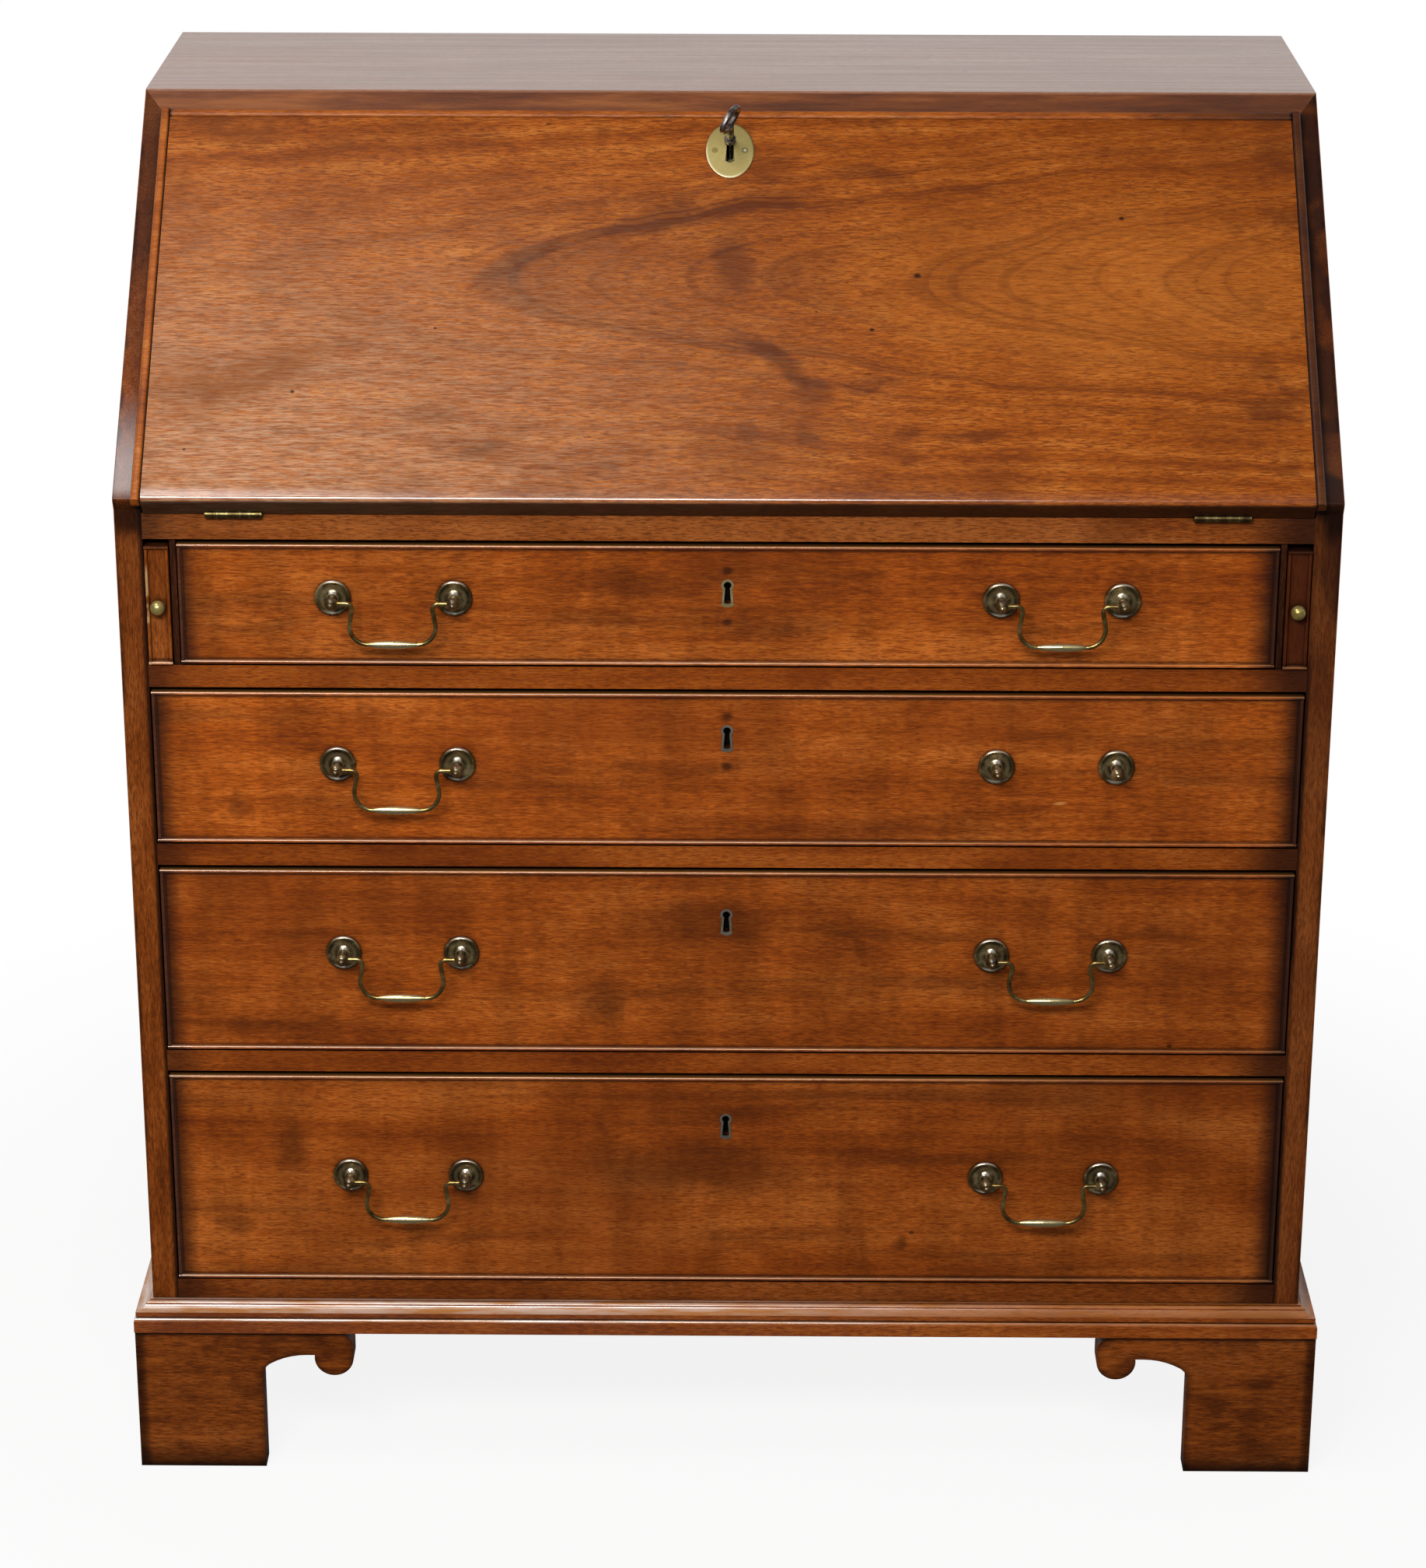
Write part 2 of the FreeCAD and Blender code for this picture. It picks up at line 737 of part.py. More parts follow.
def make_feet():
    face = body("foot_front_left", ("-foot_half", "foot_front", "0"))
    pad(face, outline(face, "XZ_Plane", bracket_edges(1)), "foot_thick", reverse=True)
    mitre = polygon(face, "XY_Plane", (("0", "0"), ("0", "foot_thick"), ("foot_thick", "foot_thick")))
    pocket_through(face, mitre)
    node(group("foot_front_faces", [face, mirror("foot_front_right", face)]), "foot_front_faces")

    cheek = body("foot_cheek_left", ("-foot_half", "foot_front", "0"))
    pad(cheek, outline(cheek, "YZ_Plane", bracket_edges(1)), "foot_thick")
    mitre = polygon(cheek, "XY_Plane", (("0", "0"), ("foot_thick", "0"), ("foot_thick", "foot_thick")))
    pocket_through(cheek, mitre)
    rear = body("foot_rear_left", ("-foot_half", "back", "0"))
    pad(rear, outline(rear, "YZ_Plane", bracket_edges(-1)), "foot_thick")
    node(group("foot_side_faces", [cheek, mirror("foot_cheek_right", cheek),
                                   rear, mirror("foot_rear_right", rear)]), "foot_side_faces")

    plate = body("foot_back_left", ("-foot_half + foot_thick", "back - foot_thick", "0"))
    shape = polygon(plate, "XZ_Plane", (
        ("0", "0"),
        ("rear_foot_width", "0"),
        ("rear_foot_width + rear_foot_flare", "foot_height"),
        ("0", "foot_height"),
    ))
    pad(plate, shape, "foot_thick", reverse=True)
    node(group("foot_back_faces", [plate, mirror("foot_back_right", plate)]), "foot_back_faces")

    block_size = ("block_width", "block_width", "foot_height - block_lift")
    blocks = []
    for name, along in (("front", "foot_front + foot_thick"), ("rear", "back - foot_thick - block_width")):
        block = box(f"foot_block_{name}_left", block_size, ("-foot_half + foot_thick", along, "block_lift"))
        blocks += [block, mirror(f"foot_block_{name}_right", block)]
    node(group("foot_blocks", blocks), "foot_blocks")


# Dovetailed drawer boxes

def tailed_side(label, at, thick, run, tall, rear, lap, seat, tails):
    """A drawer side with dovetails that reach forwards into the front and back through the drawer's back."""
    def tail(low, room, i, share):
        middle = f"({low}) + ({room}) * {(i + 0.5) / tails}"
        half = f"({room}) * {share / 2 / tails}"
        return f"{middle} - {half}", f"{middle} + {half}"

    root_y = f"{run} - {rear}"
    corners = [("0", "0"), (run, "0"), (run, seat), (root_y, seat)]
    for i in range(tails):
        root = tail(seat, f"{tall} - ({seat})", i, TAIL_ROOT)
        end = tail(seat, f"{tall} - ({seat})", i, TAIL_END)
        corners += [(root_y, root[0]), (run, end[0]), (run, end[1]), (root_y, root[1])]
    corners += [(root_y, tall), ("0", tall)]
    for i in reversed(range(tails)):
        root = tail("0", tall, i, TAIL_ROOT)
        end = tail("0", tall, i, TAIL_END)
        corners += [("0", root[1]), (f"-{lap}", end[1]), (f"-{lap}", end[0]), ("0", root[0])]
    owner = body(label, at)
    pad(owner, polygon(owner, "YZ_Plane", corners), thick)
    return owner


def drawer_box(name, at, width, run, tall, wall, rear, lap, rise, bottom, groove, tails):
    """Two dovetailed sides, a back and a bottom in grooves; and the shapes that they sink into the front."""
    left, behind, sole = at
    seat = f"{rise} + {bottom}"
    blanks = []
    for side_name, across in (("left", left), ("right", f"{left} + {width} - {wall}")):
        blanks.append(tailed_side(f"{name}_blank_{side_name}", (across, behind, sole),
                                  wall, run, tall, rear, lap, seat, tails))
    floor = box(f"{name}_bottom", (f"{width} - 2 * {wall} + 2 * {groove}", f"{run} + {groove}", bottom),
                (f"{left} + {wall} - {groove}", f"{behind} - {groove}", f"{sole} + {rise}"))
    sides = [cut(f"{name}_side_{i}", blank, [floor]) for i, blank in enumerate(blanks)]
    rear_blank = box(f"{name}_back_blank", (width, rear, f"{tall} - ({seat})"),
                     (left, f"{behind} + {run} - {rear}", f"{sole} + {seat}"))
    return sides + [cut(f"{name}_back", rear_blank, blanks), floor], blanks + [floor]


# Pigeonholes

def make_pigeonholes():
    depth = "back_face - interior_front"
    node(box("pigeonhole_shelf", ("2 * inner_half", depth, "shelf_thick"),
             ("-inner_half", "interior_front", "shelf_under")), "pigeonhole_shelf")

    standing = [box(f"drawer_divider_{i}", ("divider_thick", depth, "small_opening"),
                    (f"-inner_half - divider_thick + {i} * small_pitch", "interior_front", "bed_height"))
                for i in range(1, SMALL_DRAWERS)]
    scoop_low = value("shelf_top")
    scoop_high = value("top_under")
    front_edge = value("interior_front + divider_set_back")
    rear_edge = value("back_face")
    scoop = value("divider_scoop")
    for i in range(1, PIGEONHOLES):
        leaf = body(f"pigeonhole_divider_{i}",
                    (f"-inner_half - divider_thick + {i} * hole_pitch", "0", "0"))
        edges = chain([(front_edge, scoop_high), (rear_edge, scoop_high), (rear_edge, scoop_low),
                       (front_edge, scoop_low)])
        edges.append(arc((front_edge, scoop_low), (front_edge + scoop, (scoop_low + scoop_high) / 2),
                         (front_edge, scoop_high)))
        pad(leaf, outline(leaf, "YZ_Plane", edges), "divider_thick")
        standing.append(leaf)
    node(group("pigeonhole_dividers", standing), "pigeonhole_dividers")

    width = value("hole_pitch - divider_thick")
    drop = -value("valance_height")
    crown = drop + value("valance_arch")
    foot = width * VALANCE_FOOT
    valances = []
    for i in range(PIGEONHOLES):
        apron = body(f"valance_{i}", (f"-inner_half + {i} * hole_pitch",
                                      "interior_front + divider_set_back + divider_scoop", "top_under"))
        edges = chain([(foot, drop), (0, drop), (0, 0), (width, 0), (width, drop), (width - foot, drop)])
        edges.append(arc((width - foot, drop), (width / 2, crown), (foot, drop)))
        pad(apron, outline(apron, "XZ_Plane", edges), "valance_thick", reverse=True)
        valances.append(apron)
    node(group("pigeonhole_valances", valances), "pigeonhole_valances")


def knob_edges(radius, neck_reach, stem):
    """A ball on a waisted neck, from a stem behind its seat to its crown."""
    seat = stem * KNOB_SEAT
    ball = neck_reach + radius * KNOB_WAIST
    start = math.degrees(math.asin(stem / radius))
    touch = -ball + radius * math.cos(math.radians(start))
    edges = chain([(0, 0), (seat, 0)])
    edges.append(arc((seat, 0), (stem * KNOB_WAIST, touch / 2), (stem, touch)))
    edges.append(round_arc((0, -ball), radius, 90 - start, -90))
    edges.append(line((0, -ball - radius), (0, 0)))
    return edges


def make_small_drawers():
    low = "bed_height + running_gap"
    high = "shelf_under - small_gap"
    tall = f"({high} - ({low}))"
    width = "(small_pitch - divider_thick - 2 * small_gap)"
    stem = value("small_knob_radius") * KNOB_STEM
    for i in range(SMALL_DRAWERS):
        name = f"small_drawer_{i + 1}"
        start = f"-inner_half + {i} * small_pitch + small_gap"
        pieces, sunk = drawer_box(
            name, (start, "interior_front + small_front", low), width, "small_length - small_front", tall,
            "small_wall", "small_wall", "small_lap", "small_rise", "small_bottom", "small_groove",
            SMALL_TAILS)
        board = box(name + "_board", (width, "small_front", tall), (start, "interior_front", low))
        pieces.append(cut(name + "_front", board, sunk))
        pieces.append(turned(
            name + "_knob", knob_edges(value("small_knob_radius"), value("small_knob_neck"), stem),
            (f"{start} + ({width}) / 2", "interior_front", f"{low} + ({tall}) / 2")))
        node(group(name, pieces), name)


# Fall supports

def bead_strips(prefix, left, right, low, high):
    """Four rounded beads round the edges of a front."""
    near = "front - bead_proud"
    wide = f"({right}) - ({left})"
    tall = f"({high}) - ({low}) - 2 * bead_thick"
    low_inside = f"({low}) + bead_thick"
    blanks = (
        ("low", (wide, "bead_depth", "bead_thick"), (left, near, low)),
        ("high", (wide, "bead_depth", "bead_thick"), (left, near, f"({high}) - bead_thick")),
        ("left", ("bead_thick", "bead_depth", tall), (left, near, low_inside)),
        ("right", ("bead_thick", "bead_depth", tall), (f"({right}) - bead_thick", near, low_inside)),
    )
    near_face = value(near)
    longest = value("bead_depth")
    rounding = value("bead_thick") * STRIP_ROUND
    strips = []
    for name, size, at in blanks:
        blank = box(f"{prefix}_bead_{name}_blank", size, at)
        doc.recompute()
        edges = [(i, rounding, rounding) for i, edge in enumerate(blank.Shape.Edges, start=1)
                 if abs(edge.CenterOfMass.y - near_face) < SAME_PLACE and edge.Length > longest]
        strip = doc.addObject("Part::Fillet", f"{prefix}_bead_{name}")
        strip.Base = blank
        strip.Edges = edges
        strips.append(strip)
    return strips


def beaded_board(prefix, left, right, low, high, thick):
    """A front board, rebated all round for its beads."""
    ledge = "bead_depth - bead_proud"
    wide = f"({right}) - ({left})"
    tall = f"({high}) - ({low})"
    return fuse(prefix + "_blank", [
        box(prefix + "_field", (f"{wide} - 2 * bead_thick", thick, f"{tall} - 2 * bead_thick"),
            (f"({left}) + bead_thick", "front", f"({low}) + bead_thick")),
        box(prefix + "_rear", (wide, f"{thick} - ({ledge})", tall), (left, f"front + {ledge}", low)),
    ])


def make_lopers():
    low = "level_first + running_gap"
    knob_height = f"({low} + bed_under - loper_face_drop) / 2"
    stem = value("loper_knob_radius") * KNOB_STEM
    for name, side in SIDES:
        outer, inner = ("-loper_outer", "-loper_inner") if side < 0 else ("loper_inner", "loper_outer")
        face = "bead_depth - bead_proud + loper_face"
        bar_size = ("loper_thick", f"loper_length - ({face})", f"bed_under - loper_top_gap - ({low})")
        bar = box(f"loper_{name}_bar", bar_size, (outer, f"front + {face}", low))
        board = beaded_board(f"loper_{name}_face", outer, inner, low, "bed_under - loper_face_drop", face)
        strips = bead_strips(f"loper_{name}", outer, inner, low, "bed_under - loper_face_drop")
        node(group(f"loper_{name}", [bar, board] + strips), f"loper_{name}")
        edges = knob_edges(value("loper_knob_radius"), value("loper_knob_neck"), stem)
        knob = turned(f"loper_knob_{name}", edges, (f"({outer} + {inner}) / 2", "front", knob_height))
        node(knob, f"loper_knob_{name}")


# Long drawers and their handles

def rose_edges():
    """A dished round plate with a rolled rim and a raised eye."""
    hole = value("post_radius + fit_gap")
    rim = value("rose_radius")
    thick = value("rose_thick")
    dish = value("rose_dish")
    roll = thick / 2
    eye = value("collar_radius")
    crown = rim - roll
    hollow = (eye + crown) / 2
    return [
        line((hole, 0), (rim - roll / 2, 0)),
        arc((rim - roll / 2, 0), (rim, -thick * ROSE_RIM), (crown, -thick)),
        arc((crown, -thick), (hollow, -dish), (eye, -thick)),
        line((eye, -thick), (hole, -thick)),
        line((hole, -thick), (hole, 0)),
    ]


def post_edges():
    """A handle post: threaded tail, collar, waist, pierced ball and finial."""
    stem = value("post_radius")
    tail = value("front_thick + nut_thick + tail_end")
    plate = value("rose_thick")
    collar = value("collar_radius")
    centre = value("post_reach")
    ball = value("boss_radius")
    finial = value("finial_radius")
    tip = centre + ball + FINIAL_SINK * finial
    waist = math.degrees(math.asin(stem / ball))
    waist_at = -centre + ball * math.cos(math.radians(waist))
    cap = math.degrees(math.acos(FINIAL_SINK))
    joint_radius = finial * math.sin(math.radians(cap))
    ball_end = math.degrees(math.acos(joint_radius / ball))
    joint_at = -centre - ball * math.sin(math.radians(ball_end))
    return [
        line((0, tail), (stem, tail)),
        line((stem, tail), (stem, -plate)),
        line((stem, -plate), (collar, -plate)),
        arc((collar, -plate), (stem, (waist_at - plate) / 2), (stem, waist_at)),
        round_arc((0, -centre), ball, 90 - waist, -ball_end),
        line((joint_radius, joint_at), (joint_radius, -tip + finial * FINIAL_SINK)),
        round_arc((0, -tip), finial, 90 - cap, -90),
        line((0, -tip - finial), (0, tail)),
    ]


def make_posts(name, centre_x, height, toward):
    """One rose, its pierced post and its nut; toward is the side on which the bail enters."""
    rose = turned(f"{name}_rose", rose_edges(), (centre_x, "front", height))
    blank = turned(f"{name}_post_blank", post_edges(), (centre_x, "front", height))
    start = centre_x if toward > 0 else f"{centre_x} - 2 * boss_radius"
    eye = rod(f"{name}_eye", "bail_radius + fit_gap", "2 * boss_radius",
              (start, "front - post_reach", height), "x")
    post = cut(f"{name}_post", blank, [eye])
    inside = "front + front_thick"
    nut_blank = box(f"{name}_nut_blank", ("nut_width", "nut_thick", "nut_width"),
                    (f"{centre_x} - nut_width / 2", inside, f"{height} - nut_width / 2"))
    nut_hole = rod(f"{name}_nut_hole", "post_radius", "nut_thick", (centre_x, inside, height), "y")
    nut = cut(f"{name}_nut", nut_blank, [nut_hole])
    return [rose, post, nut]


def bail_path():
    """Half of a swan-neck bail, from the middle of its grip to the end in its post."""
    drop = value("bail_drop")
    corner = value("bail_corner")
    bend = value("bail_bend")
    lean = value("bail_lean")
    slope = math.radians(lean)
    neck = (drop - (corner + bend) * (1 + math.sin(slope))) / math.cos(slope)
    grip_end = (value("bail_flat"), -drop)
    corner_centre = (grip_end[0], -drop + corner)
    neck_start = (corner_centre[0] + corner * math.cos(slope), corner_centre[1] + corner * math.sin(slope))
    neck_end = (neck_start[0] - neck * math.sin(slope), neck_start[1] + neck * math.cos(slope))
    bend_centre = (neck_end[0] + bend * math.cos(slope), neck_end[1] + bend * math.sin(slope))
    arm_start = (bend_centre[0], bend_centre[1] + bend)
    return [
        line((0, -drop), grip_end),
        round_arc(corner_centre, corner, -90, lean),
        line(neck_start, neck_end),
        round_arc(bend_centre, bend, 180 + lean, 90),
        line(arm_start, (value("handle_centres / 2 - fit_gap"), 0)),
    ]


def make_bail(label, centre_x, height):
    owner = body(label, (centre_x, "front - post_reach", height))
    wire = outline(owner, "XZ_Plane", bail_path())
    drop = value("bail_drop")
    round_wire = outline(owner, "YZ_Plane", [
        Part.Circle(FreeCAD.Vector(0, -drop, 0), FreeCAD.Vector(0, 0, 1), value("bail_radius"))])
    pipe = owner.newObject("PartDesign::AdditivePipe", label + "_wire")
    pipe.Profile = round_wire
    pipe.Spine = (wire, [])
    reach = value("swell_length")
    thin = value("bail_radius")
    thick = value("swell_radius")
    swell = outline(owner, "XZ_Plane", [
        line((0, -drop), (reach, -drop)),
        line((reach, -drop), (reach, -drop + thin)),
        arc((reach, -drop + thin), (reach / 2, -drop + thick - (thick - thin) / 4), (0, -drop + thick)),
        line((0, -drop + thick), (0, -drop)),
    ])
    swell.addGeometry(line((0, -drop), (reach, -drop)), True)
    grip = owner.newObject("PartDesign::Revolution", label + "_grip")
    grip.Profile = swell
    grip.ReferenceAxis = (swell, ["Axis0"])
    grip.Angle = 360
    whole = owner.newObject("PartDesign::Mirrored", label + "_whole")
    whole.Originals = [pipe, grip]
    middle = [part for part in owner.Origin.OriginFeatures if part.Role == "YZ_Plane"][0]
    whole.MirrorPlane = (middle, [""])
    owner.Tip = whole
    node(owner, label)


def keyhole_tools(label, depth, at, inset="0"):
    """A keyhole going back from a point, drawn in by inset: an eye over a flared slot with a round foot."""
    radius = f"thread_radius - {inset}"
    top = value(f"thread_slot / 2 - {inset}")
    foot = value(f"thread_flare / 2 - {inset}")
    drop = value(f"thread_length - {inset}")
    slot = body(label + "_slot", at)
    edges = chain([(foot, -drop), (top, 0), (-top, 0), (-foot, -drop)])
    edges.append(arc((-foot, -drop), (0, -drop - foot * FOOT_BULGE), (foot, -drop)))
    pad(slot, outline(slot, "XZ_Plane", edges), depth, reverse=True)
    return [rod(label + "_eye", radius, depth, at, "y"), slot]


def make_drawer(name, half, level, opening, lift, key_drop):
    left = f"-{half}"
    low = f"{level} + drawer_rise"
    high = f"{level} + {opening} - drawer_drop"
    handle_height = f"(({low} + {high}) / 2 + {lift})"
    key_height = f"({high} - {key_drop})"

    mounts = []
    holes = []
    for side_name, side in SIDES:
        middle = f"{side} * handle_spread / 2"
        for end in (-1, 1):
            centre_x = f"({middle} + {end} * handle_centres / 2)"
            post_name = f"{name}_{side_name}_{'outer' if end == side else 'inner'}"
            mounts += make_posts(post_name, centre_x, handle_height, -end)
            holes.append(rod(f"{post_name}_hole", "post_radius", "front_thick",
                             (centre_x, "front", handle_height), "y"))
        if (name, side_name) not in LOST_BAILS:
            make_bail(f"{name}_bail_{side_name}", middle, handle_height)
    node(group(f"{name}_handle_posts", mounts), f"{name}_handle_posts")

    face = ("0", "front - thread_proud", key_height)
    thread_deep = "thread_depth + thread_proud"
    eye_deep = "front_thick - lock_depth / 2"
    thread = cut(f"{name}_thread",
                 fuse(f"{name}_thread_blank", keyhole_tools(f"{name}_thread_outer", thread_deep, face)),
                 keyhole_tools(f"{name}_thread_inner", thread_deep, face, "thread_wall"))
    lock_at = ("-lock_width / 2", "front + front_thick - lock_depth", f"{key_height} - lock_height / 2")
    lock_size = ("lock_width", "lock_depth", "lock_height")
    case = cut(f"{name}_lock_case", box(f"{name}_case_blank", lock_size, lock_at),
               keyhole_tools(f"{name}_case_hole", eye_deep, face, "thread_wall"))
    node(group(f"{name}_lock", [thread, case]), f"{name}_lock")

    sole = f"{level} + running_gap"
    pieces, sunk = drawer_box(
        name, (left, "front + front_thick", sole), f"2 * {half}", "drawer_length - front_thick",
        f"({high} - drawer_side_drop - ({sole}))", "drawer_side_thick", "drawer_back_thick", "dovetail_lap",
        "drawer_bottom_rise", "drawer_bottom_thick", "groove", round(value(opening) / TAIL_PITCH))
    node(group(f"{name}_box", pieces), f"{name}_box")

    board = beaded_board(f"{name}_front", left, half, low, high, "front_thick")
    mortises = [box(f"{name}_lock_room", lock_size, lock_at)]
    mortises += keyhole_tools(f"{name}_thread_room", thread_deep, face)
    mortises += keyhole_tools(f"{name}_key_room", eye_deep, face, "thread_wall")
    board = cut(f"{name}_front_board", board, holes + mortises + sunk)
    node(group(f"{name}_front", [board] + bead_strips(name, left, half, low, high)), f"{name}_front")


# Fall, its hinges and its lock

def make_hinges():
    """Two butt hinges: the bed leaves carry the odd knuckles and the pins, the fall leaves the even ones."""
    knuckle = f"hinge_length / {KNUCKLES}"
    clear = "barrel_radius + barrel_gap"
    bed_leaves = []
    fall_leaves = []
    for name, side in SIDES:
        start = f"{side} * hinge_spread / 2 - hinge_length / 2"
        plate = ("hinge_length", f"leaf_width - ({clear})", "leaf_thick")
        bed = [box(f"bed_leaf_{name}", plate, (start, f"pivot_y + {clear}", "pivot_z - leaf_thick"))]
        fall = [box(f"fall_leaf_{name}", plate, (start, clear, "0"), "fall")]
        for i in range(KNUCKLES):
            begin = f"{start} + {i} * {knuckle} + knuckle_gap / 2"
            wide = f"{knuckle} - knuckle_gap"
            tab = (wide, clear, "leaf_thick")
            barrel = rod(f"knuckle_{name}_{i}", "barrel_radius", wide, (begin, "pivot_y", "pivot_z"), "x")
            if i % 2 == 0:
                bed += [barrel, box(f"bed_tab_{name}_{i}", tab, (begin, "pivot_y", "pivot_z - leaf_thick"))]
            else:
                fall += [barrel, box(f"fall_tab_{name}_{i}", tab, (begin, "0", "0"), "fall")]
        bore = rod(f"hinge_bore_{name}", "pin_radius + fit_gap", "hinge_length",
                   (start, "pivot_y", "pivot_z"), "x")
        pin = rod(f"hinge_pin_{name}", "pin_radius", "hinge_length", (start, "pivot_y", "pivot_z"), "x")
        bed_leaves += [cut(f"bed_hinge_{name}", fuse(f"bed_hinge_blank_{name}", bed), [bore]), pin]
        fall_leaves.append(cut(f"fall_hinge_{name}", fuse(f"fall_hinge_blank_{name}", fall), [bore]))
    node(group("hinge_bed_leaves", bed_leaves), "hinge_bed_leaves")
    node(group("hinge_fall_leaves", fall_leaves), "hinge_fall_leaves")


def slot_tools(label, radius, slot, length, depth, low):
    """A keyhole cut through the fall's thickness at the key's axis."""
    slot_at = (f"-({slot}) / 2", f"key_axis - ({length})", low)
    return [rod(label + "_eye", radius, depth, ("0", "key_axis", low), "out", "fall"),
            box(label + "_slot", (slot, length, depth), slot_at, "fall")]


def make_fall():
    panel = body("fall_blank", ("0", "0", "0"), "fall")
    section = polygon(panel, "YZ_Plane", (
        ("fall_end_gap", "0"),
        ("tongue_end", "0"),
        ("tongue_end", "fall_thick"),
        ("fall_end_gap", "fall_thick"),
    ))
    board = pad(panel, section, "2 * fall_half", both_ways=True)
    end = value("fall_end_gap")
    face = value("fall_thick")
    round_edges(panel, board, "fall_nose",
                lambda p, edge: abs(p.y - end) < SAME_PLACE and abs(p.z - face) < SAME_PLACE)
    rooms = [box("lock_room", ("case_width", "case_height", "case_depth"),
                 ("-case_width / 2", "tongue_end - case_height", "0"), "fall")]
    rooms += slot_tools("fall_keyhole", "keyhole_radius", "keyhole_flare", "keyhole_length + keyhole_point",
                        "fall_thick", "0")
    for name, side in SIDES:
        rooms += hinge_recess(f"fall_recess_{name}", side, "fall")
    node(cut("fall_panel", panel, rooms), "fall_panel")

    beads = []
    left = body("fall_bead_left", ("-lip_half", "0", "0"), "fall")
    section = polygon(left, "YZ_Plane", (
        ("fall_end_gap", "lip_under"),
        ("lip_end", "lip_under"),
        ("lip_end", "lip_top"),
        ("fall_end_gap", "lip_top"),
    ))
    strip = pad(left, section, "lip_half - fall_half")
    crest = value("lip_top")
    bead_width = value("lip_half - fall_half")

    def on_crest(middle, edge):
        return abs(middle.z - crest) < SAME_PLACE and edge.Length > bead_width + SAME_PLACE

    round_edges(left, strip, "lip_round", on_crest)
    beads += [left, mirror("fall_bead_right", left)]
    top = body("fall_bead_top", ("0", "0", "0"), "fall")
    section = polygon(top, "YZ_Plane", (
        ("tongue_end", "lip_under"),
        ("lip_end", "lip_under"),
        ("lip_end", "lip_top"),
        ("tongue_end", "lip_top"),
    ))
    strip = pad(top, section, "2 * fall_half", both_ways=True)
    round_edges(top, strip, "lip_round", on_crest)
    beads.append(top)
    node(group("fall_beads", beads), "fall_beads")


def make_fall_lock():
    case = box("lock_case_blank", ("case_width", "case_height", "case_depth"),
               ("-case_width / 2", "tongue_end - case_height", "0"), "fall")
    room = box("lock_case_room", ("case_width - 2 * case_wall", "case_height - 2 * case_wall",
                                  "case_depth - 2 * case_wall"),
               ("-case_width / 2 + case_wall", "tongue_end - case_height + case_wall", "case_wall"), "fall")
    mouth_size = ("bolt_width + 2 * bolt_gap", "2 * case_wall", "bolt_thick + 2 * bolt_gap")
    mouth = box("lock_case_mouth", mouth_size,
                ("-bolt_width / 2 - bolt_gap", "tongue_end - 2 * case_wall", "case_wall"), "fall")
    eye = slot_tools("lock_case_hole", "keyhole_radius", "keyhole_slot", "keyhole_length",
                     "2 * case_wall", "case_depth - 2 * case_wall")
    node(cut("fall_lock_case", case, [room, mouth] + eye), "fall_lock_case")
    node(box("fall_bolt", ("bolt_width", "bolt_length", "bolt_thick"),
             ("-bolt_width / 2", "bolt_end - bolt_length", "bolt_low"), "fall"), "fall_bolt")

    keep = body("keep_blank", ("0", "0", "0"), "fall")
    ramp = "slant_cos / slant_sin"
    section = polygon(keep, "YZ_Plane", (
        ("keep_low", "0"),
        ("keep_low", "seat_depth - keep_gap"),
        ("seat_end + keep_gap * slant_cos / slant_sin", "seat_depth - keep_gap"),
        (f"seat_end + seat_depth * {ramp}", "0"),
    ))
    pad(keep, section, "case_width", both_ways=True)
    node(cut("lock_keep", keep, [bolt_room("keep_slot_room")]), "lock_keep")

    plate = body("fall_plate", ("0", "key_axis", "fall_thick"), "fall")
    rise = -value("plate_drop")
    tall = value("plate_length / 2")
    wide = value("plate_width / 2")
    radius = value("keyhole_radius")
    half_slot = value("keyhole_slot / 2")
    half_flare = value("keyhole_flare / 2")
    length = value("keyhole_length")
    point = length + value("keyhole_point")
    turn = math.degrees(math.asin(half_slot / radius))
    join = -radius * math.cos(math.radians(turn))
    middle = FreeCAD.Vector(0, rise, 0)
    oval = Part.Ellipse(middle + FreeCAD.Vector(0, tall, 0), middle + FreeCAD.Vector(wide, 0, 0), middle)
    hole = [round_arc((0, 0), radius, -90 + turn, 90), round_arc((0, 0), radius, 90, 270 - turn)]
    hole += chain([(-half_slot, join), (-half_flare, -length), (0, -point)])
    hole += chain([(0, -point), (half_flare, -length), (half_slot, join)])
    blank = pad(plate, outline(plate, "XY_Plane", [oval] + hole), "plate_thick")
    face = value("plate_thick")
    round_edges(plate, blank, "plate_round",
                lambda p, edge: abs(p.z - face) < SAME_PLACE and edge.Length > value("plate_length"))
    node(plate, "fall_key_plate")


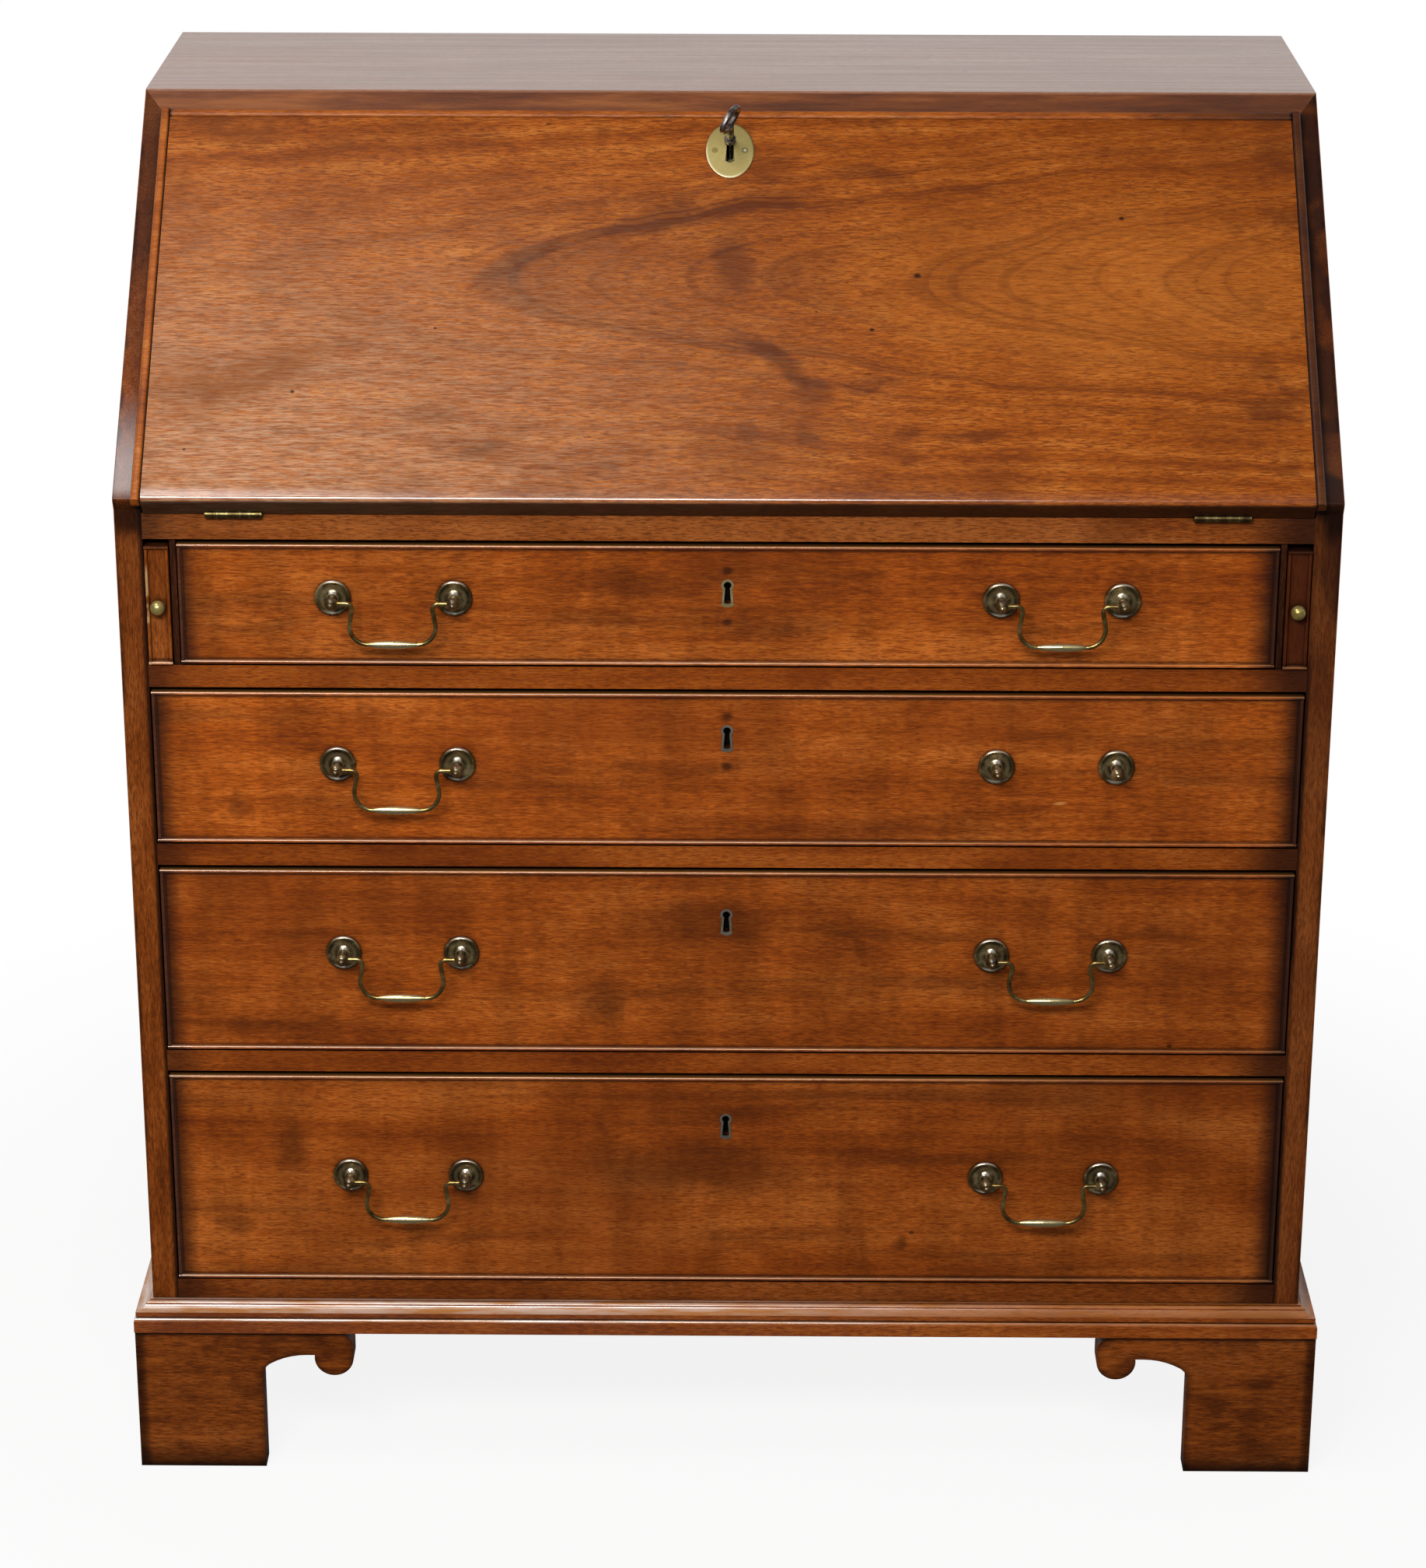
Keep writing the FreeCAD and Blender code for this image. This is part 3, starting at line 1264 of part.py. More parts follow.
def make_key():
    """A key standing in the fall's lock, turned a little from upright."""
    tip = value("bolt_low")
    radius = value("shank_radius")
    seat = value("fall_thick + plate_thick")
    shank_top = seat + value("shank_reach")
    bow_wide = value("bow_width / 2")
    bow_tall = value("bow_height / 2")
    wire = value("bow_wire")
    shank = Part.makeCylinder(radius, shank_top - tip, FreeCAD.Vector(0, 0, tip))
    collar = Part.makeCylinder(radius * KEY_COLLAR, radius, FreeCAD.Vector(0, 0, seat + radius))
    bit = Part.makeBox(value("bit_thick"), radius + value("bit_length"), value("bit_height"),
                       FreeCAD.Vector(-value("bit_thick") / 2, -radius - value("bit_length"), tip))
    middle = FreeCAD.Vector(-wire, 0, shank_top + bow_tall - wire)

    def oval(wide, tall):
        ring = Part.Ellipse(middle + FreeCAD.Vector(0, wide, 0), middle + FreeCAD.Vector(0, 0, tall), middle)
        return Part.Wire(ring.toShape())

    rings = [oval(bow_wide, bow_tall), oval(bow_wide - 2 * wire, bow_tall - 2 * wire)]
    bow = Part.makeFace(rings, "Part::FaceMakerBullseye").extrude(FreeCAD.Vector(2 * wire, 0, 0))
    bow = bow.makeFillet(wire * BOW_ROUND, [edge for edge in bow.Edges if edge.isClosed()])
    shape = shank.fuse([collar, bit, bow]).removeSplitter()
    turn = FreeCAD.Rotation(Z_AXIS, -value("key_turn"))
    shape.transformShape(FreeCAD.Placement(FreeCAD.Vector(), turn).toMatrix(), True)
    key = doc.addObject("Part::Feature", "key")
    key.Shape = shape
    place(key, ("0", "key_axis", "0"), "fall")
    node(key, "key")


make_sides()
make_top()
make_boards()
make_rails()
make_moulding()
make_feet()
make_pigeonholes()
make_small_drawers()
make_lopers()
for drawer in DRAWERS:
    make_drawer(*drawer)
make_hinges()
make_fall()
make_fall_lock()
make_key()
doc.recompute()

# Nothing is written unless every object came out whole.
for obj in doc.Objects:
    if "Invalid" in obj.State or "Error" in obj.State:
        raise RuntimeError(f"{obj.Name} failed: {obj.State}")
for obj in nodes:
    if obj.Shape.isNull() or not obj.Shape.isValid():
        raise RuntimeError(f"{obj.Label} has no valid shape")

os.makedirs("parts", exist_ok=True)
for obj in nodes:
    obj.Shape.exportStep(f"parts/{obj.Label}.step")
print(len(nodes), "nodes,", sum(len(obj.Shape.Solids) for obj in nodes), "solids")
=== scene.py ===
import json
import math

import bmesh
import bpy
from mathutils import Matrix, Vector


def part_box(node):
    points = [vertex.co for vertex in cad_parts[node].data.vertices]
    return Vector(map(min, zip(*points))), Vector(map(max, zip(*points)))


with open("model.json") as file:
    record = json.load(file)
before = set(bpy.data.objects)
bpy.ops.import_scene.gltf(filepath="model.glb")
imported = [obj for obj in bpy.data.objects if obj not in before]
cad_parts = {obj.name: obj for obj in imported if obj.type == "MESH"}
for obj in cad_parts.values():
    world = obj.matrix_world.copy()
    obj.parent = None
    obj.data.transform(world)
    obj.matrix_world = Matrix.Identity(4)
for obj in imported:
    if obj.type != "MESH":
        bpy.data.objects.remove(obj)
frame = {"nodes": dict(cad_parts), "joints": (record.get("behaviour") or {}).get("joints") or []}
NODES = frame["nodes"]
JOINTS = {j["name"]: j for j in frame["joints"]}
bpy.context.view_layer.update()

# The fall lies in a tilted plane: PIVOT is its hinge, UPHILL runs up the slope, OUTWARD leaves its face.
PIVOT = Vector(JOINTS["fall_hinge"]["pos_m"])
SLANT = math.pi - math.radians(JOINTS["fall_hinge"]["range_deg"][1])
ACROSS = Vector((1.0, 0.0, 0.0))
UPHILL = Vector((0.0, math.cos(SLANT), math.sin(SLANT)))
OUTWARD = Vector((0.0, -math.sin(SLANT), math.cos(SLANT)))

# Measures of the carcass, the oval plate and a bail, taken from the nodes.
SIDE_LOW, SIDE_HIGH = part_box("side_right")
INNER_HALF = SIDE_LOW.x
OUTER_HALF = SIDE_HIGH.x
BACK = SIDE_HIGH.y
TOP_LEVEL = SIDE_HIGH.z
KNEE = PIVOT.z
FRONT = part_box("drawer_rails")[0].y
PANEL_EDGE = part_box("fall_panel")[1].x
FOOT_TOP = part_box("foot_front_faces")[1].z
PLATE_LOW, PLATE_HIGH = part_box("fall_key_plate")
PLATE_MIDDLE = (PLATE_LOW + PLATE_HIGH) / 2
PLATE_HALF_WIDTH = (PLATE_HIGH.x - PLATE_LOW.x) / 2
PLATE_HALF_HEIGHT = (PLATE_HIGH.z - PLATE_LOW.z) / 2 / math.sin(SLANT)
BAIL_LOW, BAIL_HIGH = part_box("drawer_1_bail_right")
BAIL_MIDDLE = (BAIL_LOW.x + BAIL_HIGH.x) / 2

# Grain directions, as turns that bring a board's length onto the texture's first axis.
ALONG_X = (0.0, 0.0, 0.0)
ALONG_Y = (0.0, 0.0, -math.pi / 2)
ALONG_Z = (0.0, math.pi / 2, 0.0)


def linear(code):
    """A six-digit colour in linear light."""
    parts = [int(code[i:i + 2], 16) / 255 for i in (0, 2, 4)]
    return tuple(c / 12.92 if c <= 0.04045 else ((c + 0.055) / 1.055) ** 2.4 for c in parts) + (1.0,)


SOCKETS = {
    "metallic": "Metallic",
    "roughness": "Roughness",
    "coat_roughness": "Coat Roughness",
    "coat_ior": "Coat IOR",
    "specular": "Specular IOR Level",
}


class Shade:
    """A procedural material built node by node."""

    def __init__(self, name, **sockets):
        self.material = bpy.data.materials.new(name)
        self.material.use_nodes = True
        self.tree = self.material.node_tree
        self.shader = self.tree.nodes["Principled BSDF"]
        for key, value in sockets.items():
            self.shader.inputs[SOCKETS[key]].default_value = value
        sources = self.node("ShaderNodeTexCoord").outputs
        self.coords = sources["Object"]
        self.normal = sources["Normal"]

    def node(self, kind, inputs=None, **settings):
        made = self.tree.nodes.new(kind)
        for key, value in settings.items():
            setattr(made, key, value)
        for key, value in (inputs or {}).items():
            self.feed(made.inputs[key], value)
        return made

    def feed(self, socket, value):
        if isinstance(value, bpy.types.NodeSocket):
            self.tree.links.new(value, socket)
        else:
            socket.default_value = value

    def math(self, operation, first, second=0.0, clamp=False):
        made = self.node("ShaderNodeMath", {0: first, 1: second}, operation=operation, use_clamp=clamp)
        return made.outputs[0]

    def add(self, first, second):
        return self.math("ADD", first, second)

    def gathered(self, first, second):
        """The sum of two masks, at most 1."""
        return self.math("ADD", first, second, clamp=True)

    def less(self, first, second):
        return self.math("SUBTRACT", first, second)

    def without(self, mask):
        """What a mask leaves."""
        return self.less(1.0, mask)

    def times(self, first, second):
        return self.math("MULTIPLY", first, second)

    def most(self, first, second):
        return self.math("MAXIMUM", first, second)

    def size(self, value):
        return self.math("ABSOLUTE", value)

    def length(self, first, second):
        return self.math("SQRT", self.add(self.times(first, first), self.times(second, second)))

    def dot(self, vector, direction):
        made = self.node("ShaderNodeVectorMath", {0: vector, 1: direction}, operation="DOT_PRODUCT")
        return made.outputs["Value"]

    def shifted(self, vector, offset):
        return self.node("ShaderNodeVectorMath", {0: vector, 1: offset}, operation="ADD").outputs[0]

    def scaled(self, vector, factors):
        return self.node("ShaderNodeVectorMath", {0: vector, 1: factors}, operation="MULTIPLY").outputs[0]

    def turned(self, vector, rotation):
        return self.node("ShaderNodeMapping", {"Vector": vector, "Rotation": rotation}).outputs[0]

    def joined(self, x, y, z):
        return self.node("ShaderNodeCombineXYZ", {0: x, 1: y, 2: z}).outputs[0]

    def parts(self, vector):
        return self.node("ShaderNodeSeparateXYZ", {0: vector}).outputs

    def noise(self, vector, factors, detail=2.0, roughness=0.5, distortion=0.0):
        made = self.node("ShaderNodeTexNoise", {
            "Vector": self.scaled(vector, factors), "Scale": 1.0, "Detail": detail,
            "Roughness": roughness, "Distortion": distortion})
        return made.outputs["Fac"]

    def noise_along(self, distance, scale, detail=2.0):
        made = self.node("ShaderNodeTexNoise", {"W": distance, "Scale": scale, "Detail": detail},
                         noise_dimensions="1D")
        return made.outputs["Fac"]

    def span(self, value, low, high, to_low=0.0, to_high=1.0):
        """A soft step from to_low at low to to_high at high."""
        made = self.node("ShaderNodeMapRange", {
            "Value": value, "From Min": low, "From Max": high, "To Min": to_low, "To Max": to_high},
            interpolation_type="SMOOTHSTEP")
        return made.outputs["Result"]

    def ramp(self, factor, positions, colours):
        made = self.node("ShaderNodeValToRGB", {"Fac": factor})
        band = made.color_ramp.elements
        while len(band) < len(positions):
            band.new(0.5)
        for element, position, colour in zip(band, positions, colours):
            element.position = position
            element.color = colour
        return made.outputs["Color"]

    def mix(self, factor, first, second):
        made = self.node("ShaderNodeMix", {0: factor, 6: first, 7: second}, data_type="RGBA")
        return made.outputs[2]

    def gain(self, colour, amount):
        """A colour made lighter or darker."""
        return self.node("ShaderNodeVectorMath", {0: colour, "Scale": amount}, operation="SCALE").outputs[0]

    def facing(self):
        """The three parts of the surface's direction, which turns with the piece."""
        return self.parts(self.normal)

    def crevice(self, reach, inside=False):
        """1 in the open and 0 deep in a corner, or the same for sharp outer edges from inside."""
        made = self.node("ShaderNodeAmbientOcclusion", {"Distance": reach}, samples=4, inside=inside)
        return made.outputs["AO"]

    def bump(self, height, distance, strength=1.0):
        made = self.node("ShaderNodeBump", {"Height": height, "Distance": distance, "Strength": strength})
        self.feed(self.shader.inputs["Normal"], made.outputs["Normal"])

    def colour(self, value):
        self.feed(self.shader.inputs["Base Color"], value)

    def roughness(self, value):
        self.feed(self.shader.inputs["Roughness"], value)

    def coat(self, value):
        self.feed(self.shader.inputs["Coat Weight"], value)


def wood(dark, mid, light):
    """The three tones of a wood."""
    return {"dark": linear(dark), "mid": linear(mid), "light": linear(light)}


MAHOGANY = wood("6A2C07", "9A4A10", "B96626")
FALL_WOOD = wood("743305", "A75513", "C3732C")
CARCASS_WOOD = wood("562507", "8C4512", "AA602A")
EDGE_WOOD = wood("26110A", "4E2714", "6F3C1F")
TOP_WOOD = wood("8A5A42", "9C6C52", "AC7E64")
INNER_WOOD = wood("5E3018", "8A4F28", "A86B3D")
OAK_WOOD = wood("8A6238", "AD8452", "C9A472")
PINE_WOOD = wood("8E6238", "B58A57", "CFAA78")
RAW_WOOD = linear("C99A66")
# Near-black for dirt, knots and dark joints, and also for painted shade in corners, beside beads and on faces
# turned down.
DIRT_AND_SHADE = linear("140804")
PALE_POLISH_AND_SHEEN = linear("DDB48E")
# Pale rubbed wood for a scratch, and also for painted highlights on the upper sides of beads and mouldings.
RUBBED_AND_HIGHLIGHT = linear("CF8E4E")

# Boards are lightly polished; the rubbed mouldings carry a glossier coat.
WAX = {"specular": 0.12, "coat_roughness": 0.18, "coat_ior": 1.8}

# The layers of a board's grain, as noise pitches per metre along its length and across it.
STREAKS = (4.0, 170.0, 170.0)
MOTTLE = (14.0, 42.0, 42.0)
FIBRE = (120.0, 850.0, 850.0)
FINE_PORES = (170.0, 1500.0, 1500.0)
COARSE_PORES = (95.0, 800.0, 800.0)
BAND_WEIGHT, MOTTLE_WEIGHT, FIBRE_WEIGHT = 0.24, 0.22, 0.32
TONE_STOPS = (0.38, 0.50, 0.62)
# Small dark knots: the pitch of their cells, how rare they are, and their size within a cell.
KNOT_CELLS = (22.0, 30.0, 30.0)
KNOT_RARE = (0.82, 0.86)
KNOT_SIZE = (0.030, 0.065)


def grained(shade, place, phase, tones, pores=0.6, contrast=1.0, streakiness=0.20):
    """Colour of a polished board: figure along phase, mottle, streaks and short dark pores along its length."""
    bands = shade.noise_along(phase, 1.0, detail=1.0)
    streaks = shade.noise(place, STREAKS, detail=4.0, roughness=0.6)
    mottle = shade.noise(place, MOTTLE, detail=3.0, roughness=0.55)
    fibre = shade.noise(place, FIBRE, detail=2.0, roughness=0.65)
    tone = 0.0
    weights = ((bands, BAND_WEIGHT * contrast), (streaks, streakiness), (mottle, MOTTLE_WEIGHT),
               (fibre, FIBRE_WEIGHT))
    for layer, weight in weights:
        tone = shade.add(shade.times(layer, weight), tone)
    tone = shade.add(tone, 0.5 - sum(weight for layer, weight in weights) / 2)
    base = shade.ramp(tone, TONE_STOPS, tones.values())
    fine = shade.span(shade.noise(place, FINE_PORES, detail=1.0), 0.56, 0.64)
    coarse = shade.span(shade.noise(place, COARSE_PORES, detail=1.0), 0.58, 0.65)
    dash = shade.most(fine, coarse)
    return shade.mix(shade.times(dash, pores), base, tones["dark"]), streaks, dash


def weathered(shade, colour, place, tones, blotch=0.40, blotch_size=(9.0, 13.0, 13.0), specks=0.7):
    """Soft dark clouds and a few small dark knots over a board's colour."""
    cloud = shade.noise(place, blotch_size, detail=3.0, roughness=0.55)
    colour = shade.mix(shade.span(cloud, 0.50, 0.68, 0.0, blotch), colour, tones["dark"])
    cells = shade.node("ShaderNodeTexVoronoi", {"Vector": shade.scaled(place, KNOT_CELLS), "Scale": 1.0})
    rare = shade.span(shade.parts(cells.outputs["Color"])[0], *KNOT_RARE)
    spot = shade.times(shade.span(cells.outputs["Distance"], *KNOT_SIZE, specks, 0.0), rare)
    return shade.mix(spot, colour, DIRT_AND_SHADE)


def darkened(shade, colour, reach=0.010, depth=0.85):
    """Painted shade in the corners from an occlusion test, which also stands for old wax and dirt gathered
    there.
    """
    corner = shade.span(shade.crevice(reach), 0.40, 0.92, depth, 0.0)
    return shade.mix(corner, colour, DIRT_AND_SHADE)


def waxed(shade, streaks, dash, low=0.34, high=0.48, relief=0.00010):
    """Satin polish with open pores."""
    shade.roughness(shade.span(streaks, 0.30, 0.70, high, low))
    shade.bump(shade.less(shade.times(streaks, 0.35), dash), relief, 0.6)


def board_place(shade, turn, seed):
    """A board's own texture place, its length along the first axis."""
    return shade.shifted(shade.turned(shade.coords, turn), (seed * 1.37, seed * 0.71, seed * 0.53))


def board_phase(shade, place, slope=0.5, pitch=13.0, sway=1.1):
    """Distance through the growth rings of a plain-sawn board."""
    x, y, z = shade.parts(place)
    across = shade.times(shade.add(shade.times(y, 0.7), z), pitch)
    sway_noise = shade.times(shade.noise(place, (2.1, 6.0, 6.0), detail=2.0), sway * 2)
    return shade.add(shade.add(shade.times(x, slope), across), sway_noise)


def wandering(shade, place, first, second, reach=0.035, pitch=22.0):
    """The two face coordinates of a board, shaken so that what is drawn on them has soft ragged edges."""
    moved = []
    for start, value in ((place, first), (shade.shifted(place, (4.1, 7.3, 2.9)), second)):
        shake = shade.noise(start, (pitch, pitch, pitch), detail=3.0, roughness=0.6)
        moved.append(shade.add(value, shade.times(shade.add(shake, -0.5), reach)))
    return moved


def smudge(shade, along, across, centre, half, depth, tilt=0.0):
    """Strength of one soft cloud: an ellipse about centre, its long axis turned by tilt."""
    from_x = shade.add(along, -centre[0])
    from_y = shade.add(across, -centre[1])
    cosine, sine = math.cos(tilt), math.sin(tilt)
    first = shade.add(shade.times(from_x, cosine / half[0]), shade.times(from_y, sine / half[0]))
    second = shade.add(shade.times(from_y, cosine / half[1]), shade.times(from_x, -sine / half[1]))
    return shade.span(shade.length(first, second), 0.25, 1.0, depth, 0.0)


def clouds(shade, along, across, marks):
    """Several smudges together."""
    total = 0.0
    for mark in marks:
        total = shade.gathered(smudge(shade, along, across, *mark), total)
    return total


def inset_from(shade, value, low, high):
    """Distance inwards from the nearer of two limits."""
    return shade.less((high - low) / 2, shade.size(shade.add(value, -(high + low) / 2)))


def board(name, tones, turn=ALONG_X, seed=0.0, blotch=0.40, wear=None, rough=(0.34, 0.48), reach=0.010,
          specular=WAX["specular"]):
    """A mahogany board with its grain along one axis."""
    shade = Shade(name, specular=specular, coat_roughness=WAX["coat_roughness"], coat_ior=WAX["coat_ior"])
    place = board_place(shade, turn, seed)
    colour, streaks, dash = grained(shade, place, board_phase(shade, place), tones)
    colour = weathered(shade, colour, place, tones, blotch=blotch)
    if wear:
        colour = wear(shade, colour)
    shade.colour(darkened(shade, colour, reach))
    waxed(shade, streaks, dash, *rough)
    return shade.material


def bare(name, tones, turn=ALONG_X, seed=0.0, pitch=22.0):
    """Unpolished secondary wood with clear growth rings."""
    shade = Shade(name, specular=0.2)
    place = board_place(shade, turn, seed)
    phase = board_phase(shade, place, slope=0.35, pitch=pitch, sway=0.8)
    colour, streaks, dash = grained(shade, place, phase, tones, pores=0.4, contrast=1.25)
    colour = weathered(shade, colour, place, tones, blotch=0.35, blotch_size=(4.0, 9.0, 9.0), specks=0.8)
    shade.colour(darkened(shade, colour, 0.014, 0.6))
    waxed(shade, streaks, dash, 0.62, 0.80, 0.0002)
    return shade.material


# The fall's figure: arches whose tips lie along one line and point left, as (tip, depth) ...
ARCH_LINE = 0.199
ARCH_OPENING = 47.0
ARCHES = ((-0.36, 0.30), (-0.19, 0.46), (0.04, 0.22), (0.15, 0.17), (0.33, 0.18))
ARCH_EDGE, ARCH_FADE = 0.012, 0.07
# ... with fine rings between them, whose noise is read well away from its origin ...
RING_START = 3.0
RING_PITCH = 7.0
FINE_RINGS = 46.0
# ... and soft dark clouds, as (centre, half size, depth, tilt) on the face.
FALL_CLOUDS = (
    ((0.000, 0.205), (0.150, 0.120), 0.22, 0.0),
    ((-0.16, 0.215), (0.055, 0.014), 0.40, 0.52),
    ((-0.06, 0.252), (0.075, 0.013), 0.50, 0.26),
    ((0.025, 0.270), (0.060, 0.016), 0.55, 0.30),
    ((0.004, 0.209), (0.022, 0.040), 0.55, 0.0),
    ((0.030, 0.302), (0.030, 0.018), 0.45, 0.50),
    ((0.110, 0.297), (0.045, 0.016), 0.55, -0.20),
    ((0.190, 0.280), (0.060, 0.010), 0.25, -0.15),
    ((0.036, 0.128), (0.060, 0.012), 0.70, -0.62),
    ((0.062, 0.098), (0.018, 0.016), 0.50, 0.0),
    ((0.110, 0.104), (0.038, 0.008), 0.55, 0.05),
    ((0.132, 0.060), (0.018, 0.010), 0.60, 0.0),
    ((0.180, 0.058), (0.032, 0.009), 0.65, 0.08),
    ((0.019, 0.061), (0.014, 0.009), 0.50, 0.0),
    ((0.058, 0.059), (0.010, 0.010), 0.60, 0.0),
    ((0.135, 0.036), (0.014, 0.008), 0.40, 0.0),
    ((0.405, 0.082), (0.030, 0.010), 0.60, -0.30),
    ((-0.187, 0.043), (0.022, 0.009), 0.60, 0.15),
    ((-0.083, 0.033), (0.016, 0.007), 0.45, 0.0),
    ((-0.200, 0.330), (0.040, 0.014), 0.30, 0.0),
)
FIGURE_BROWN = linear("5A2507")
# A lighter field at the right, and stains that lie over the pale polish and painted sheen at the left, in the
# same form.
FALL_GLOW = ((0.29, 0.19), (0.24, 0.11), 0.55)
FALL_STAINS = (
    ((-0.405, 0.098), (0.055, 0.044), 0.66, 0.10),
    ((-0.350, 0.114), (0.056, 0.032), 0.62, 0.35),
    ((-0.300, 0.135), (0.034, 0.012), 0.32, 0.20),
    ((-0.220, 0.080), (0.036, 0.018), 0.34, 0.30),
    ((-0.175, 0.045), (0.034, 0.013), 0.38, 0.0),
    ((-0.380, 0.335), (0.052, 0.020), 0.50, 0.0),
    ((-0.300, 0.325), (0.022, 0.018), 0.52, 0.0),
    ((-0.425, 0.285), (0.018, 0.026), 0.48, 0.0),
    ((-0.285, 0.270), (0.040, 0.016), 0.42, 0.20),
)
STAIN_BROWN = linear("7E4318")
# Small dark spots, as (place across, place up the slope, size).
FALL_SPOTS = ((0.143, 0.202, 0.0042), (0.108, 0.153, 0.0030), (-0.222, 0.153, 0.0018), (-0.327, 0.096, 0.0026),
              (0.066, 0.169, 0.0014), (-0.405, 0.045, 0.0016), (0.30, 0.255, 0.0030))
# Soft steps across the fall and up it: pale polish with painted sheen, painted shade top right, the dark border
# and the glossy nose.
FIGURE_ACROSS = (-0.36, -0.12, 0.0, 0.30)
SHEEN_ACROSS, SHEEN_UP = (0.20, -0.42), (0.37, 0.02)
SHADY_ACROSS, SHADY_UP = (0.0, 0.44), (0.22, 0.36, 0.02, 0.46)
BORDER_RIGHT, BORDER_TOP, BORDER_BOTTOM = (0.36, 0.432), (0.30, 0.36), (0.10, 0.03, 0.0, 0.45)
NOSE_UP, NOSE_ACROSS = (0.006, 0.014, 1.0, 0.0), (-0.10, 0.42, 1.0, 0.45)
BORDER_BROWN = linear("5A2709")


def fall_wood():
    """The fall's panel: nested arches of flat-sawn figure, clouds, a stained pale polish with painted sheen,
    painted shade and a glossy nose.
    """
    shade = Shade("fall_mahogany", specular=0.15, coat_roughness=WAX["coat_roughness"],
                  coat_ior=WAX["coat_ior"])
    local = shade.shifted(shade.coords, tuple(-PIVOT))
    x = shade.dot(local, tuple(ACROSS))
    u = shade.dot(local, tuple(UPHILL))
    w = shade.dot(local, tuple(OUTWARD))
    place = shade.joined(x, u, w)
    soft_x, soft_u = wandering(shade, place, x, u)
    ring_x, ring_u = wandering(shade, place, x, u, reach=0.040, pitch=6.0)
    rise = shade.add(ring_u, -ARCH_LINE)
    arch = shade.less(ring_x, shade.times(shade.times(rise, rise), ARCH_OPENING))
    phase = shade.times(shade.add(arch, RING_START), RING_PITCH)
    colour, streaks, dash = grained(shade, place, phase, FALL_WOOD, pores=0.80, contrast=0.7, streakiness=0.08)
    colour = weathered(shade, colour, place, FALL_WOOD, blotch=0.30)
    broken = shade.noise(place, (75.0, 900.0, 900.0), detail=3.0, roughness=0.65)
    glow = shade.times(smudge(shade, soft_x, soft_u, *FALL_GLOW), shade.span(broken, 0.36, 0.64, 0.25, 1.0))
    colour = shade.mix(glow, colour, FALL_WOOD["light"])

    rings = shade.noise_along(shade.add(arch, RING_START), FINE_RINGS, detail=3.0)
    figure = shade.times(shade.span(rings, 0.50, 0.68), shade.span(x, *FIGURE_ACROSS))
    for tip, depth in ARCHES:
        beyond = shade.add(arch, -tip)
        line = shade.times(shade.span(beyond, -ARCH_EDGE, 0.0), shade.span(beyond, 0.0, ARCH_FADE, depth, 0.0))
        figure = shade.gathered(line, figure)
    figure = shade.gathered(clouds(shade, soft_x, soft_u, FALL_CLOUDS), figure)
    colour = shade.mix(shade.times(figure, 0.95), colour, FIGURE_BROWN)

    # A pale worn polish with a painted sheen over the lower left of the fall.
    pale_sheen = shade.times(shade.span(x, *SHEEN_ACROSS), shade.span(u, *SHEEN_UP))
    pale_sheen = shade.times(pale_sheen, shade.span(broken, 0.35, 0.70, 0.10, 0.62))
    colour = shade.mix(pale_sheen, colour, PALE_POLISH_AND_SHEEN)
    stain = shade.noise(place, (16.0, 26.0, 26.0), detail=4.0, roughness=0.6)
    marks = shade.times(clouds(shade, soft_x, soft_u, FALL_STAINS), shade.span(stain, 0.38, 0.60, 0.55, 1.0))
    colour = shade.mix(marks, colour, STAIN_BROWN)
    # Painted shade darkens the upper right corner of the fall.
    shady = shade.times(shade.span(x, *SHADY_ACROSS), shade.span(u, *SHADY_UP))
    colour = shade.mix(shady, colour, FALL_WOOD["dark"])
    border = shade.most(shade.span(x, *BORDER_RIGHT),
                        shade.most(shade.span(u, *BORDER_TOP), shade.span(u, *BORDER_BOTTOM)))
    colour = shade.mix(shade.times(border, shade.span(stain, 0.46, 0.62, 0.0, 0.62)), colour, BORDER_BROWN)
    for across, up, size in FALL_SPOTS:
        colour = shade.mix(smudge(shade, x, u, (across, up), (size, size * 0.8), 0.9), colour, DIRT_AND_SHADE)

    # Painted shade, with grime, on the end face below the nose, which faces down the slope.
    under_shade = shade.span(shade.dot(shade.normal, tuple(UPHILL)), -0.95, -0.70, 0.85, 0.0)
    colour = shade.mix(under_shade, colour, DIRT_AND_SHADE)
    shade.colour(darkened(shade, colour, 0.010))
    nose = shade.times(shade.span(u, *NOSE_UP), shade.span(x, *NOSE_ACROSS))
    shade.coat(shade.times(nose, shade.without(under_shade)))
    waxed(shade, streaks, dash, 0.36, 0.50)
    return shade.material


